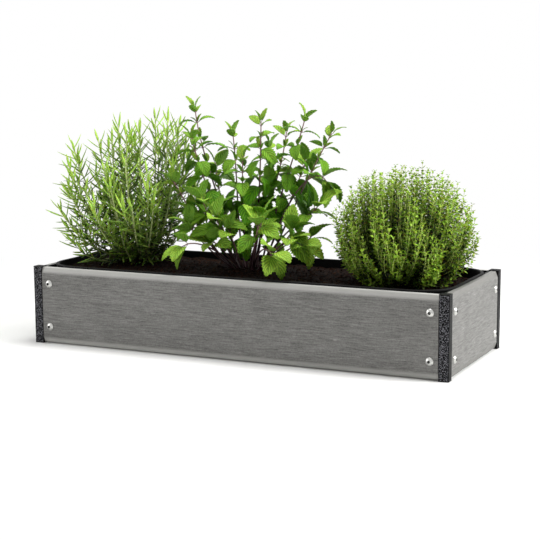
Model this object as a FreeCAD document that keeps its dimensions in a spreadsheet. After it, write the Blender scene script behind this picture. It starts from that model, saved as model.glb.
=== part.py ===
import FreeCAD, Part
import math
import os
import re
import Sketcher
from FreeCAD import Placement, Rotation, Vector

# Indoor herb planter: four bevelled composite boards bolted to four corner posts, a slatted base,
# and a liner tray that lifts out with the soil and the three herbs in it.
# Origin: middle of the planter's footprint on the surface it stands on. +X along its length,
# the front board faces -Y, +Z up. All lengths are millimetres.

# Driving dimensions
SIZES = {
    # Outside of the box, over the corner posts
    "planter_length": 800.0,
    "planter_width": 300.0,
    # Boards, and how far their faces lie behind the post faces
    "board_height": 140.0,
    "board_thickness": 14.0,
    "board_recess": 1.0,
    "board_bevel_rise": 11.0,
    "board_bevel_depth": 4.0,
    "board_round": 1.5,
    "butt_gap": 0.4,
    # Corner posts: a hollow square with a flange behind each of its two boards
    "post_wall": 2.5,
    "flange_thickness": 3.0,
    "flange_reach": 32.0,
    "post_corner_round": 2.5,
    "post_edge_round": 2.0,
    # Caps that close the posts, and the same pieces turned over as feet
    "cap_thickness": 1.5,
    "cap_plug_length": 8.0,
    "cap_plug_clearance": 0.1,
    # Button head bolts through board and flange, and their nuts
    "bolt_inset": 33.0,
    "bolt_edge": 30.0,
    "bolt_radius": 4.0,
    "bolt_length": 25.0,
    "bolt_tip_chamfer": 0.8,
    "bolt_head_radius": 7.0,
    "bolt_head_rise": 4.4,
    "bolt_head_edge": 0.9,
    "bolt_socket_width": 5.0,
    "bolt_socket_depth": 2.6,
    "bolt_hole_clearance": 0.25,
    "nut_width": 13.0,
    "nut_height": 6.5,
    "nut_bore_clearance": 0.05,
    # Bearers along the long boards, and the base slats across them
    "bearer_size": 15.0,
    "bearer_lift": 1.5,
    "bearer_end_gap": 5.0,
    "slat_width": 60.0,
    "slat_thickness": 8.0,
    "slat_end_gap": 1.0,
    # Countersunk wood screws
    "screw_radius": 2.0,
    "screw_head_radius": 4.0,
    "screw_point": 3.0,
    "bearer_screw_length": 25.0,
    "slat_screw_length": 20.0,
    "pilot_clearance": 0.05,
    "pilot_spare_depth": 1.0,
    # Liner tray: its rim rests over the inner edge of the boards
    "liner_gap": 1.0,
    "liner_wall": 2.0,
    "liner_floor": 2.0,
    "liner_flare_width": 2.0,
    "liner_corner_radius": 60.0,
    "seat_gap": 0.3,
    "rim_overlap": 2.5,
    "rim_thickness": 3.0,
    "rim_round": 1.2,
    # Soil, lower at the right end, and the root balls that stand in it
    "soil_gap": 0.3,
    "soil_drop_left": 10.0,
    "soil_drop_right": 18.0,
    "root_proud": 1.0,
    "root_bed": 14.0,
    "root_taper": 10.0,
    "rosemary_root_radius": 52.0,
    "mint_root_radius": 62.0,
    "thyme_root_radius": 62.0,
    # Herbs above their root balls
    "crown_height": 3.0,
    "rosemary_height": 284.0,
    "rosemary_reach": 122.0,
    "rosemary_crown_radius": 30.0,
    "rosemary_foot_radius": 3.0,
    "rosemary_sprig_radius": 10.0,
    "rosemary_tip_radius": 3.0,
    "mint_height": 314.0,
    "mint_reach": 190.0,
    "mint_crown_radius": 50.0,
    "mint_bare_height": 38.0,
    "mint_stem_radius": 1.8,
    "mint_leaf_length": 46.0,
    "mint_leaf_width": 29.0,
    "mint_leaf_thickness": 1.2,
    "thyme_height": 196.0,
    "thyme_radius": 126.0,
    "thyme_foot_radius": 46.0,
    "thyme_sprig_proud": 18.0,
    "thyme_lean": 11.0,
    # How far a cut runs past what it cuts
    "overrun": 5.0,
}

# Sizes worked out from the driving ones
DERIVED = {
    "post_size": "board_recess + board_thickness + flange_thickness",
    "flange_end": "post_size + flange_reach",
    "board_inner": "board_recess + board_thickness",
    "board_top": "cap_thickness + board_height",
    "long_board_length": "planter_length - 2 * (post_size + butt_gap)",
    "short_board_length": "planter_width - 2 * (post_size + butt_gap)",
    "bolt_hole_radius": "bolt_radius + bolt_hole_clearance",
    "pilot_radius": "screw_radius + pilot_clearance",
    "screw_head_depth": "screw_head_radius - screw_radius",
    "bearer_length": "planter_length - 2 * (flange_end + bearer_end_gap)",
    "bearer_base": "cap_thickness + bearer_lift",
    "slat_base": "bearer_base + bearer_size",
    "slat_length": "planter_width - 2 * (board_inner + slat_end_gap)",
    "slat_screw_place": "planter_width / 2 - board_inner - bearer_size / 2",
    "liner_base": "slat_base + slat_thickness + seat_gap",
    "liner_height": "board_top + seat_gap - liner_base",
    "rim_top": "board_top + seat_gap + rim_thickness",
    "liner_length": "planter_length - 2 * (board_inner + liner_gap)",
    "liner_width": "planter_width - 2 * (board_inner + liner_gap)",
    "foot_length": "liner_length - 2 * liner_flare_width",
    "foot_width": "liner_width - 2 * liner_flare_width",
    "foot_corner_radius": "liner_corner_radius - liner_flare_width",
    "cavity_inset": "liner_wall - liner_flare_width * liner_floor / liner_height",
    "soil_base": "liner_base + liner_floor + soil_gap",
    "soil_inset": "cavity_inset + soil_gap",
    "soil_left": "rim_top - soil_drop_left",
    "soil_right": "rim_top - soil_drop_right",
    "root_base": "soil_base + root_bed",
}

# Where the herbs stand, as shares of the planter's length and width from its middle
HERB_PLACE_SHARES = {
    "rosemary": (-0.345, 0.15),
    "mint": (-0.07, 0.17),
    "thyme": (0.32, 0.02),
}

# Slats and bearer screws are spread evenly, a screw in each gap between two slats
SLAT_COUNT = 5

# Herb stems have flat sides
STEM_SIDE_COUNT = 6

# Rosemary: each sprig's tip, as shares of the reach to the right and to the back, and of the height.
# A sprig leans out first and rises more steeply from its middle on.
ROSEMARY_TIP_SHARES = [
    (-0.87, -0.66, 0.83), (-0.84, -0.82, 0.69), (-0.87, -0.82, 0.56), (-0.97, -0.92, 0.41),
    (-0.92, -0.82, 0.29), (-0.59, -0.92, 0.13), (-0.49, -0.51, 0.86), (-0.35, -0.34, 0.87),
    (-0.34, -0.18, 0.95), (-0.21, -0.04, 0.93), (0.16, -0.34, 0.93), (0.25, -0.04, 1.00),
    (0.65, -0.34, 0.99), (0.68, -0.04, 0.97), (-0.70, 0.08, 0.81), (-0.61, 0.33, 0.69),
    (0.41, 0.25, 0.92), (0.08, 0.37, 0.86), (-0.37, 0.49, 0.70), (0.57, 0.45, 0.76),
    (0.80, -0.08, 0.83), (0.76, -0.41, 0.70), (0.74, 0.37, 0.56), (-0.25, -0.75, 0.70),
    (0.16, -0.80, 0.76), (0.51, -0.75, 0.66), (-0.04, -0.90, 0.56), (-0.51, -0.89, 0.56),
    (0.33, -0.92, 0.45), (0.62, -0.78, 0.46), (-0.25, -0.97, 0.37), (-0.78, -0.16, 0.64),
    (-0.82, 0.25, 0.46), (0.49, -0.20, 0.88), (-0.66, -0.92, 0.25),
]
ROSEMARY_BASE_SHARE = 0.8
ROSEMARY_BELLY_SHARE = 0.45
ROSEMARY_BEND_SHARE = 0.63

# Mint: for each shoot, its tip as shares of the reach to the right and to the back and of the height, its bow
# as a share of the height, its leaves' size beside a common leaf, the turn of its top pair and its most pairs
MINT_SHOOTS = [
    (-0.54, -0.06, 0.936, 0.0, 1.0, 20, 9), (0.25, -0.22, 0.87, 0.0, 1.0, 70, 9),
    (0.66, -0.11, 0.89, 0.0, 1.0, 10, 9), (0.86, 0.05, 0.80, 0.0, 1.0, 45, 9),
    (0.37, 0.10, 0.80, 0.0, 1.0, 80, 9), (-0.21, 0.10, 0.79, 0.0, 1.0, 5, 9),
    (-0.50, -0.22, 0.78, 0.0, 1.0, 50, 9), (0.08, -0.27, 0.67, 0.0, 1.0, 30, 9),
    (-0.62, -0.37, 0.52, 0.0, 1.2, 75, 4), (0.84, -0.05, 0.54, 0.19, 2.3, 75, 3),
    (0.80, -0.16, 0.39, 0.06, 2.0, 80, 3), (-0.29, -0.77, 0.18, 0.08, 2.1, 0, 2),
    (0.64, -0.83, 0.17, 0.10, 2.0, 20, 2), (0.80, -0.51, 0.20, 0.08, 1.9, 60, 2),
    (-0.28, -0.42, 0.42, 0.0, 1.5, 35, 4), (0.37, -0.47, 0.31, 0.0, 1.8, 85, 3),
    (0.68, -0.45, 0.27, 0.0, 1.8, 30, 3), (-0.48, 0.24, 0.60, 0.0, 1.3, 65, 5),
    (0.10, 0.29, 0.72, 0.0, 1.1, 25, 6), (0.50, 0.25, 0.62, 0.0, 1.4, 55, 5),
    (-0.10, -0.48, 0.33, 0.0, 1.6, 12, 3), (-0.46, -0.32, 0.33, 0.0, 1.5, 48, 3),
]
# For each pair of leaves from the tip down: its way back as a share of the height, its share of a leaf's full
# length, how steeply it leaves the stem and how far it hangs
MINT_PAIRS = [
    (0.012, 0.52, 1.9, 0.1), (0.03, 0.59, 0.8, 0.15), (0.09, 0.70, 0.5, 0.4), (0.17, 0.83, 0.35, 0.65),
    (0.24, 0.91, 0.3, 0.85), (0.32, 0.98, 0.3, 1.0), (0.40, 0.98, 0.3, 1.0), (0.49, 0.91, 0.3, 1.0),
    (0.57, 0.83, 0.3, 1.0),
]
MINT_BASE_SHARE = 0.8
MINT_TIP_WIDTH_SHARE = 0.6
MINT_LARGEST_SHARE = 1.09
MINT_SLIM_POWER = 1.5
MINT_PAIRS_ALWAYS = 2

# Thyme: a dome of sprig tips, its outline from the foot up as shares of the radius and the height
THYME_OUTLINE_SHARES = [
    (0.62, 0.08), (0.80, 0.20), (0.92, 0.33), (0.98, 0.46), (1.0, 0.58),
    (0.94, 0.70), (0.81, 0.82), (0.60, 0.91), (0.36, 0.97), (0.14, 1.0),
]
THYME_SECTOR_COUNT = 26
THYME_CENTRE_SHARE = 0.35

NUT_CHAMFER_ANGLE = 30.0
# Two numbers this close are the same but for rounding
ROUNDING = 1e-4
RIGHT_ANGLE = 90
OUTWARD = Rotation(Vector(1, 0, 0), RIGHT_ANGLE)
INWARD = Rotation(Vector(1, 0, 0), -RIGHT_ANGLE)

doc = FreeCAD.newDocument("herb_planter")
nodes = []


def formula(text, own=()):
    """Point each size name in a formula at the sheet that holds it."""
    def point(word):
        name = word.group()
        if name in SIZES:
            return "Sizes." + name
        return "Derived." + name if name in DERIVED and name not in own else name
    return re.sub(r"[a-z]\w*", point, text)


def make_sheet(name, cells):
    """Write a sheet of aliased cells, one size to a row."""
    sheet = doc.addObject("Spreadsheet::Sheet", name)
    for row, (alias, content) in enumerate(cells.items(), start=1):
        sheet.set(f"A{row}", alias)
        sheet.set(f"B{row}", content)
        sheet.setAlias(f"B{row}", alias)
    doc.recompute()
    return sheet


sizes = make_sheet("Sizes", {name: str(number) for name, number in SIZES.items()})
make_sheet("Derived", {name: "=" + formula(text, own=DERIVED) for name, text in DERIVED.items()})


def value(text):
    """Work out a formula as a plain number."""
    result = sizes.evalExpression(formula(text))
    return float(getattr(result, "Value", result))


def bind(item, path, text):
    """Drive a property with a formula of the sheets' sizes."""
    item.setExpression(path, formula(text))


def place(item, x=None, y=None, z=None, turn=None):
    """Put a piece at formulas of the sizes, turned by a rotation."""
    if turn is not None:
        item.Placement = Placement(Vector(), turn)
    for axis, text in (("x", x), ("y", y), ("z", z)):
        if text is not None:
            bind(item, "Placement.Base." + axis, text)


def new_body(name):
    """Start a body."""
    body = doc.addObject("PartDesign::Body", name)
    body.Label = name
    return body


def new_sketch(body, role, name, x=None, y=None, lift=None):
    """Start a sketch on one of the body's own planes, shifted in it by x and y and lifted off it."""
    sketch = body.newObject("Sketcher::SketchObject", name)
    plane = next(item for item in body.Origin.OriginFeatures if item.Role == role)
    sketch.AttachmentSupport = [(plane, "")]
    sketch.MapMode = "FlatFace"
    for axis, text in (("x", x), ("y", y), ("z", lift)):
        if text is not None:
            bind(sketch, "AttachmentOffset.Base." + axis, text)
    return sketch


def dimension(sketch, kind, where, text):
    """Add a dimension to a sketch and drive it with a formula."""
    index = sketch.addConstraint(Sketcher.Constraint(kind, *where, value(text)))
    name = f"size_{index}"
    sketch.renameConstraint(index, name)
    bind(sketch, "Constraints." + name, text)


def pin(sketch, item, point, x, y):
    """Fix a point of a sketch at the formulas x and y from its origin."""
    for kind, text, axis in (("DistanceX", x, -2), ("DistanceY", y, -1)):
        if text == "0":
            sketch.addConstraint(Sketcher.Constraint("PointOnObject", item, point, axis))
        else:
            dimension(sketch, kind, (-1, 1, item, point), text)


def draw_outline(sketch, corners):
    """Draw a closed outline of straight edges through corners given as pairs of formulas."""
    first = sketch.GeometryCount
    count = len(corners)
    points = [Vector(value(x), value(y), 0) for x, y in corners]
    for index in range(count):
        sketch.addGeometry(Part.LineSegment(points[index], points[(index + 1) % count]), False)
    for index, (x, y) in enumerate(corners):
        before, here = first + (index - 1) % count, first + index
        sketch.addConstraint(Sketcher.Constraint("Coincident", before, 2, here, 1))
        pin(sketch, here, 1, x, y)


def draw_circle(sketch, x, y, radius):
    """Draw a circle whose centre and radius are formulas."""
    circle = Part.Circle(Vector(value(x), value(y), 0), Vector(0, 0, 1), value(radius))
    item = sketch.addGeometry(circle, False)
    pin(sketch, item, 3, x, y)
    dimension(sketch, "Radius", (item,), radius)


def draw_rounded_rectangle(sketch, length, width, radius):
    """Draw a rectangle with round corners about the sketch's origin."""
    first = sketch.GeometryCount
    side, end, corner = value(length) / 2, value(width) / 2, value(radius)
    turns = [(1, -1, -1), (1, 1, 0), (-1, 1, 1), (-1, -1, 2)]
    for right, back, quarter in turns:
        centre = Vector(right * (side - corner), back * (end - corner), 0)
        start = quarter * math.pi / 2
        circle = Part.Circle(centre, Vector(0, 0, 1), corner)
        sketch.addGeometry(Part.ArcOfCircle(circle, start, start + math.pi / 2), False)
    arcs = [sketch.Geometry[first + index] for index in range(4)]
    for index, arc in enumerate(arcs):
        sketch.addGeometry(Part.LineSegment(arc.EndPoint, arcs[(index + 1) % 4].StartPoint), False)
    for index in range(4):
        arc, line = first + index, first + index + 4
        sketch.addConstraint(Sketcher.Constraint("Tangent", arc, 2, line, 1))
        sketch.addConstraint(Sketcher.Constraint("Tangent", line, 2, first + (index + 1) % 4, 1))
        sketch.addConstraint(Sketcher.Constraint(("Vertical", "Horizontal")[index % 2], line))
        if index:
            sketch.addConstraint(Sketcher.Constraint("Equal", first, arc))
    dimension(sketch, "Radius", (first,), radius)
    dimension(sketch, "DistanceX", (first + 2, 2, first, 2), length)
    dimension(sketch, "DistanceY", (first, 1, first + 1, 2), width)
    sketch.addConstraint(Sketcher.Constraint("Symmetric", first, 2, first + 2, 2, -1, 1))


def pad(body, sketch, name, length, both_ways=False):
    """Pad a sketch by a formula."""
    feature = body.newObject("PartDesign::Pad", name)
    feature.Profile = sketch
    feature.SideType = "Symmetric" if both_ways else "One side"
    bind(feature, "Length", length)
    return feature


def pocket(body, sketch, name, length=None, backward=False, both_ways=False):
    """Cut a sketch through the body, or to a depth, and stop if nothing was cut."""
    doc.recompute()
    before = body.Shape.Volume
    feature = body.newObject("PartDesign::Pocket", name)
    feature.Profile = sketch
    feature.SideType = "Symmetric" if both_ways else "One side"
    feature.Reversed = backward
    if length is None:
        feature.Type = "ThroughAll"
    else:
        bind(feature, "Length", length)
    doc.recompute()
    if not body.Shape.Volume < before:
        raise RuntimeError(f"{body.Label}: {name} cut nothing")
    return feature


def turned(body, kind, sketch, name):
    """Turn a sketch about its own upright axis, as added or cut material."""
    feature = body.newObject("PartDesign::" + kind, name)
    feature.Profile = sketch
    feature.ReferenceAxis = (sketch, ["V_Axis"])
    return feature


def dress(body, kind, base, name, size_path, size, chosen):
    """Fillet or chamfer those edges of a feature that a test picks out."""
    doc.recompute()
    names = [f"Edge{index}" for index, edge in enumerate(base.Shape.Edges, start=1) if chosen(edge)]
    if not names:
        raise RuntimeError(f"{body.Label}: no edge found for {name}")
    feature = body.newObject("PartDesign::" + kind, name)
    feature.Base = (base, names)
    bind(feature, size_path, size)
    return feature


def runs_along(edge, axis):
    """Tell whether an edge is straight and lies along an axis."""
    return isinstance(edge.Curve, Part.Line) and near(abs(edge.Curve.Direction.dot(axis)), 1)


def near(first, second):
    """Tell whether two numbers are the same but for rounding."""
    return abs(first - second) < ROUNDING


def group(name, master, spots, turn, seat=None, x=None, y=None, z=None, yaw=None):
    """Join copies of one piece into a node, each at a triple of formulas, and seat the node on a piece."""
    copies = []
    for index, (along, across, up) in enumerate(spots, start=1):
        copy = doc.addObject("App::Link", f"{name}_{index}")
        copy.LinkedObject = master
        place(copy, along, across, up, turn)
        copies.append(copy)
    node = doc.addObject("Part::Compound", name)
    node.Label = name
    node.Links = copies
    if seat is not None:
        node.setExpression("Placement", seat.Name + ".Placement")
    else:
        place(node, x, y, z, yaw)
    nodes.append(node)
    return node


# Each side of the box: its board's length, the turn that brings the board there, and where it goes
SIDES = {
    "front": ("planter_length", "long_board_length", 0, None, "board_recess - planter_width / 2"),
    "right": ("planter_width", "short_board_length", 1, "planter_length / 2 - board_recess", None),
    "back": ("planter_length", "long_board_length", 2, None, "planter_width / 2 - board_recess"),
    "left": ("planter_width", "short_board_length", 3, "board_recess - planter_length / 2", None),
}
# Each corner: the turn that brings the post there, and its signs along X and Y
CORNERS = {
    "front_left": (0, -1, -1),
    "front_right": (1, 1, -1),
    "back_right": (2, 1, 1),
    "back_left": (3, -1, 1),
}
# Bolts of one board: the signs of its two ends, with the lower and upper height
BOLT_SPOTS = [(end, height) for end in (-1, 1) for height in ("bolt_edge", "board_height - bolt_edge")]
# From the middle of one slat to the next
SLAT_PITCH = f"(bearer_length - slat_width) / {SLAT_COUNT - 1}"


def bearer_screw_spots():
    """Give the places of the bearer screws along a bearer, midway between the slats."""
    return [f"{index - (SLAT_COUNT - 2) / 2} * {SLAT_PITCH}" for index in range(SLAT_COUNT - 1)]


def slat_spots():
    """Give the places of the slats along the planter."""
    return [f"{index - (SLAT_COUNT - 1) / 2} * {SLAT_PITCH}" for index in range(SLAT_COUNT)]


def make_board(side):
    """Make a board with its two bevelled edges, its bolt holes and, if long, the bearer's screw holes."""
    span, length, quarters, x, y = SIDES[side]
    body = new_body(side + "_board")
    section = new_sketch(body, "YZ_Plane", body.Name + "_section")
    draw_outline(section, [
        ("board_bevel_depth", "0"), ("board_thickness", "0"), ("board_thickness", "board_height"),
        ("board_bevel_depth", "board_height"), ("0", "board_height - board_bevel_rise"),
        ("0", "board_bevel_rise")])
    plank = pad(body, section, body.Name + "_plank", length, both_ways=True)
    rounds = dress(body, "Fillet", plank, body.Name + "_rounds", "Radius", "board_round",
                   lambda edge: runs_along(edge, Vector(1, 0, 0)))
    holes = new_sketch(body, "XZ_Plane", body.Name + "_hole_places")
    for end, height in BOLT_SPOTS:
        draw_circle(holes, f"{end} * ({span} / 2 - bolt_inset)", height, "bolt_hole_radius")
    pocket(body, holes, body.Name + "_holes")
    if side in ("front", "back"):
        pilots = new_sketch(body, "XZ_Plane", body.Name + "_pilot_places", lift="-board_thickness")
        for along in bearer_screw_spots():
            draw_circle(pilots, along, "bearer_lift + bearer_size / 2", "pilot_radius")
        pocket(body, pilots, body.Name + "_pilots",
               "bearer_screw_length - bearer_size + pilot_spare_depth", backward=True)
    body.Placement = Placement(Vector(), Rotation(Vector(0, 0, 1), quarters * RIGHT_ANGLE))
    place(body, x, y, "cap_thickness")
    nodes.append(body)
    return body


def make_post(corner):
    """Make a corner post: a hollow square with a bolted flange behind each board."""
    quarters, right, back = CORNERS[corner]
    body = new_body(corner + "_post")
    section = new_sketch(body, "XY_Plane", body.Name + "_section")
    draw_outline(section, [
        ("0", "0"), ("post_size", "0"), ("post_size", "board_inner"), ("flange_end", "board_inner"),
        ("flange_end", "post_size"), ("post_size", "post_size"), ("post_size", "flange_end"),
        ("board_inner", "flange_end"), ("board_inner", "post_size"), ("0", "post_size")])
    draw_outline(section, [
        ("post_wall", "post_wall"), ("post_size - post_wall", "post_wall"),
        ("post_size - post_wall", "post_size - post_wall"), ("post_wall", "post_size - post_wall")])
    profile = pad(body, section, body.Name + "_profile", "board_height")
    size = value("post_size")

    def upright_at(x, y):
        """Pick the upright edge over one corner of the section."""
        return lambda edge: (runs_along(edge, Vector(0, 0, 1)) and near(edge.CenterOfMass.x, x)
                             and near(edge.CenterOfMass.y, y))
    corner_round = dress(body, "Fillet", profile, body.Name + "_corner_round", "Radius",
                         "post_corner_round", upright_at(0, 0))
    dress(body, "Fillet", corner_round, body.Name + "_edge_rounds", "Radius", "post_edge_round",
          lambda edge: upright_at(size, 0)(edge) or upright_at(0, size)(edge))
    for plane, backward in (("XZ_Plane", False), ("YZ_Plane", True)):
        holes = new_sketch(body, plane, f"{body.Name}_{plane[:2]}_hole_places")
        for height in ("bolt_edge", "board_height - bolt_edge"):
            draw_circle(holes, "bolt_inset", height, "bolt_hole_radius")
        pocket(body, holes, f"{body.Name}_{plane[:2]}_holes", backward=backward)
    body.Placement = Placement(Vector(), Rotation(Vector(0, 0, 1), quarters * RIGHT_ANGLE))
    place(body, f"{right} * planter_length / 2", f"{back} * planter_width / 2", "cap_thickness")
    nodes.append(body)
    return body


def make_cap(corner, is_foot):
    """Make the plugged cap on top of a post, or turned over as its foot."""
    quarters, right, back = CORNERS[corner]
    body = new_body(corner + ("_post_foot" if is_foot else "_post_cap"))
    outline = new_sketch(body, "XY_Plane", body.Name + "_outline")
    draw_outline(outline, [("0", "0"), ("post_size", "0"), ("post_size", "post_size"), ("0", "post_size")])
    plate = pad(body, outline, body.Name + "_plate", "cap_thickness")
    dress(body, "Fillet", plate, body.Name + "_corner_rounds", "Radius", "post_edge_round",
          lambda edge: runs_along(edge, Vector(0, 0, 1))
          and not near(edge.CenterOfMass.x + edge.CenterOfMass.y, 2 * value("post_size")))
    inner = "post_wall + cap_plug_clearance"
    outer = f"post_size - {inner.replace('+', '-')}"
    plug = new_sketch(body, "XY_Plane", body.Name + "_plug_outline")
    draw_outline(plug, [(inner, inner), (outer, inner), (outer, outer), (inner, outer)])
    plug_pad = pad(body, plug, body.Name + "_plug", "cap_plug_length")
    plug_pad.Reversed = True
    yaw = Rotation(Vector(0, 0, 1), quarters * RIGHT_ANGLE)
    flip = Rotation(Vector(1, 1, 0), 2 * RIGHT_ANGLE) if is_foot else Rotation()
    body.Placement = Placement(Vector(), yaw * flip)
    place(body, f"{right} * planter_length / 2", f"{back} * planter_width / 2",
          "cap_thickness" if is_foot else "board_top")
    nodes.append(body)
    return body


def make_bolt():
    """Make the button head bolt, its head standing up from the origin and its shank hanging down."""
    body = new_body("bolt")
    profile = new_sketch(body, "XZ_Plane", "bolt_profile")
    corners = [("0", "-bolt_length"), ("bolt_radius - bolt_tip_chamfer", "-bolt_length"),
               ("bolt_radius", "bolt_tip_chamfer - bolt_length"), ("bolt_radius", "0"),
               ("bolt_head_radius", "0"), ("bolt_head_radius", "bolt_head_edge"), ("0", "bolt_head_rise")]
    points = [Vector(value(x), value(y), 0) for x, y in corners]
    for index in range(5):
        profile.addGeometry(Part.LineSegment(points[index], points[index + 1]), False)
    # The head's dome is an arc about a point on the bolt's axis
    across, rise = points[5].x, points[6].y - points[5].y
    radius = (across * across + rise * rise) / (2 * rise)
    circle = Part.Circle(Vector(0, points[6].y - radius, 0), Vector(0, 0, 1), radius)
    dome = Part.ArcOfCircle(circle, math.atan2(radius - rise, across), math.pi / 2)
    profile.addGeometry(dome, False)
    profile.addGeometry(Part.LineSegment(points[6], points[0]), False)
    for index in range(1, 6):
        profile.addConstraint(Sketcher.Constraint("Coincident", index - 1, 2, index, 1))
    profile.addConstraint(Sketcher.Constraint("Coincident", 5, 2, 6, 1))
    profile.addConstraint(Sketcher.Constraint("Coincident", 6, 2, 0, 1))
    profile.addConstraint(Sketcher.Constraint("PointOnObject", 5, 3, -2))
    for index, (x, y) in enumerate(corners[:6]):
        pin(profile, index, 1, x, y)
    pin(profile, 6, 1, *corners[6])
    turned(body, "Revolution", profile, "bolt_turned")
    socket = new_sketch(body, "XY_Plane", "bolt_socket_outline", lift="bolt_head_rise")
    draw_outline(socket, hexagon("bolt_socket_width"))
    pocket(body, socket, "bolt_socket", "bolt_socket_depth")
    return body


def hexagon(width):
    """Give the corners of a hexagon of a width across its flats."""
    apothem, half_side = f"{width} / 2", f"{width} / {2 * math.sqrt(3)}"
    return [(f"2 * {half_side}", "0"), (half_side, apothem), (f"-{half_side}", apothem),
            (f"-2 * {half_side}", "0"), (f"-{half_side}", f"-{apothem}"), (half_side, f"-{apothem}")]


def make_nut():
    """Make the hexagon nut with a plain bore and its outer corners turned off."""
    body = new_body("nut")
    outline = new_sketch(body, "XY_Plane", "nut_outline")
    draw_outline(outline, hexagon("nut_width"))
    pad(body, outline, "nut_blank", "nut_height")
    bore = new_sketch(body, "XY_Plane", "nut_bore_place")
    draw_circle(bore, "0", "0", "bolt_radius + nut_bore_clearance")
    pocket(body, bore, "nut_bore", backward=True)
    corner = new_sketch(body, "XZ_Plane", "nut_chamfer_section")
    slope = math.tan(math.radians(NUT_CHAMFER_ANGLE))
    draw_outline(corner, [("nut_width / 2", "nut_height"), ("nut_width", "nut_height"),
                          ("nut_width", f"nut_height - nut_width / 2 * {slope}")])
    turned(body, "Groove", corner, "nut_chamfer_cut")
    return body


def make_wood_screw(name, length):
    """Make a countersunk wood screw, its flat head at the origin and its point down."""
    body = new_body(name)
    profile = new_sketch(body, "XZ_Plane", name + "_profile")
    draw_outline(profile, [("0", "0"), ("screw_head_radius", "0"), ("screw_radius", "-screw_head_depth"),
                           ("screw_radius", f"screw_point - {length}"), ("0", f"-{length}")])
    turned(body, "Revolution", profile, name + "_turned")
    return body


def make_bearer(side, board):
    """Make the bearer along the inner face of a long board, drilled for its own and the slats' screws."""
    body = new_body(side + "_bearer")
    section = new_sketch(body, "YZ_Plane", body.Name + "_section")
    near_face, far_face = "board_thickness", "board_thickness + bearer_size"
    low, high = "bearer_lift", "bearer_lift + bearer_size"
    draw_outline(section, [(near_face, low), (far_face, low), (far_face, high), (near_face, high)])
    pad(body, section, body.Name + "_batten", "bearer_length", both_ways=True)
    holes = new_sketch(body, "XZ_Plane", body.Name + "_hole_places")
    for along in bearer_screw_spots():
        draw_circle(holes, along, "bearer_lift + bearer_size / 2", "pilot_radius")
    bored = pocket(body, holes, body.Name + "_holes")
    face = value(far_face)
    sunk = dress(body, "Chamfer", bored, body.Name + "_countersinks", "Size", "screw_head_depth",
                 lambda edge: isinstance(edge.Curve, Part.Circle) and near(edge.CenterOfMass.y, face))
    pilots = new_sketch(body, "XY_Plane", body.Name + "_pilot_places", lift=high)
    for along in slat_spots():
        draw_circle(pilots, along, "board_thickness + bearer_size / 2", "pilot_radius")
    pocket(body, pilots, body.Name + "_pilots", "slat_screw_length - slat_thickness + pilot_spare_depth")
    body.setExpression("Placement", board.Name + ".Placement")
    nodes.append(body)
    return body


def make_slat(index, along):
    """Make a base slat with a countersunk hole over each bearer."""
    body = new_body(f"base_slat_{index}")
    outline = new_sketch(body, "XY_Plane", body.Name + "_outline")
    side, end = "slat_width / 2", "slat_length / 2"
    draw_outline(outline, [("-" + side, "-" + end), (side, "-" + end), (side, end), ("-" + side, end)])
    pad(body, outline, body.Name + "_plank", "slat_thickness")
    holes = new_sketch(body, "XY_Plane", body.Name + "_hole_places")
    for across in ("slat_screw_place", "-slat_screw_place"):
        draw_circle(holes, "0", across, "pilot_radius")
    bored = pocket(body, holes, body.Name + "_holes", backward=True)
    top = value("slat_thickness")
    dress(body, "Chamfer", bored, body.Name + "_countersinks", "Size", "screw_head_depth",
          lambda edge: isinstance(edge.Curve, Part.Circle) and near(edge.CenterOfMass.z, top))
    place(body, along, None, "slat_base")
    nodes.append(body)
    return body


def make_liner():
    """Make the liner tray: a flared shell with wide round corners and a rim over the boards."""
    body = new_body("liner_tray")
    foot = new_sketch(body, "XY_Plane", "liner_foot")
    draw_rounded_rectangle(foot, "foot_length", "foot_width", "foot_corner_radius")
    shell = pad(body, foot, "liner_shell", "liner_height")
    bind(shell, "TaperAngle", "atan(liner_flare_width / liner_height)")
    rim = new_sketch(body, "XY_Plane", "liner_rim_outline", lift="liner_height")
    overhang = "liner_gap + rim_overlap"
    draw_rounded_rectangle(rim, f"liner_length + 2 * ({overhang})", f"liner_width + 2 * ({overhang})",
                           f"liner_corner_radius + {overhang}")
    plate = pad(body, rim, "liner_rim", "rim_thickness")
    mouth = new_sketch(body, "XY_Plane", "liner_cavity_floor", lift="liner_floor")
    draw_rounded_rectangle(mouth, "foot_length - 2 * cavity_inset", "foot_width - 2 * cavity_inset",
                           "foot_corner_radius - cavity_inset")
    hollow = pocket(body, mouth, "liner_cavity", "liner_height + rim_thickness", backward=True)
    bind(hollow, "TaperAngle", "atan(liner_flare_width / liner_height)")
    top = value("liner_height + rim_thickness")
    dress(body, "Fillet", hollow, "liner_rim_rounds", "Radius", "rim_round",
          lambda edge: near(edge.BoundBox.ZMin, top) and near(edge.BoundBox.ZMax, top))
    place(body, None, None, "liner_base")
    nodes.append(body)
    return body


def herb_spot(herb):
    """Give the formulas of a herb's place and of the top of its root ball."""
    right, back = HERB_PLACE_SHARES[herb]
    x, y = f"{right} * planter_length", f"{back} * planter_width"
    level = f"(soil_left + soil_right) / 2 + (soil_right - soil_left) * {x} / liner_length"
    return x, y, level + " + root_proud"


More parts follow.
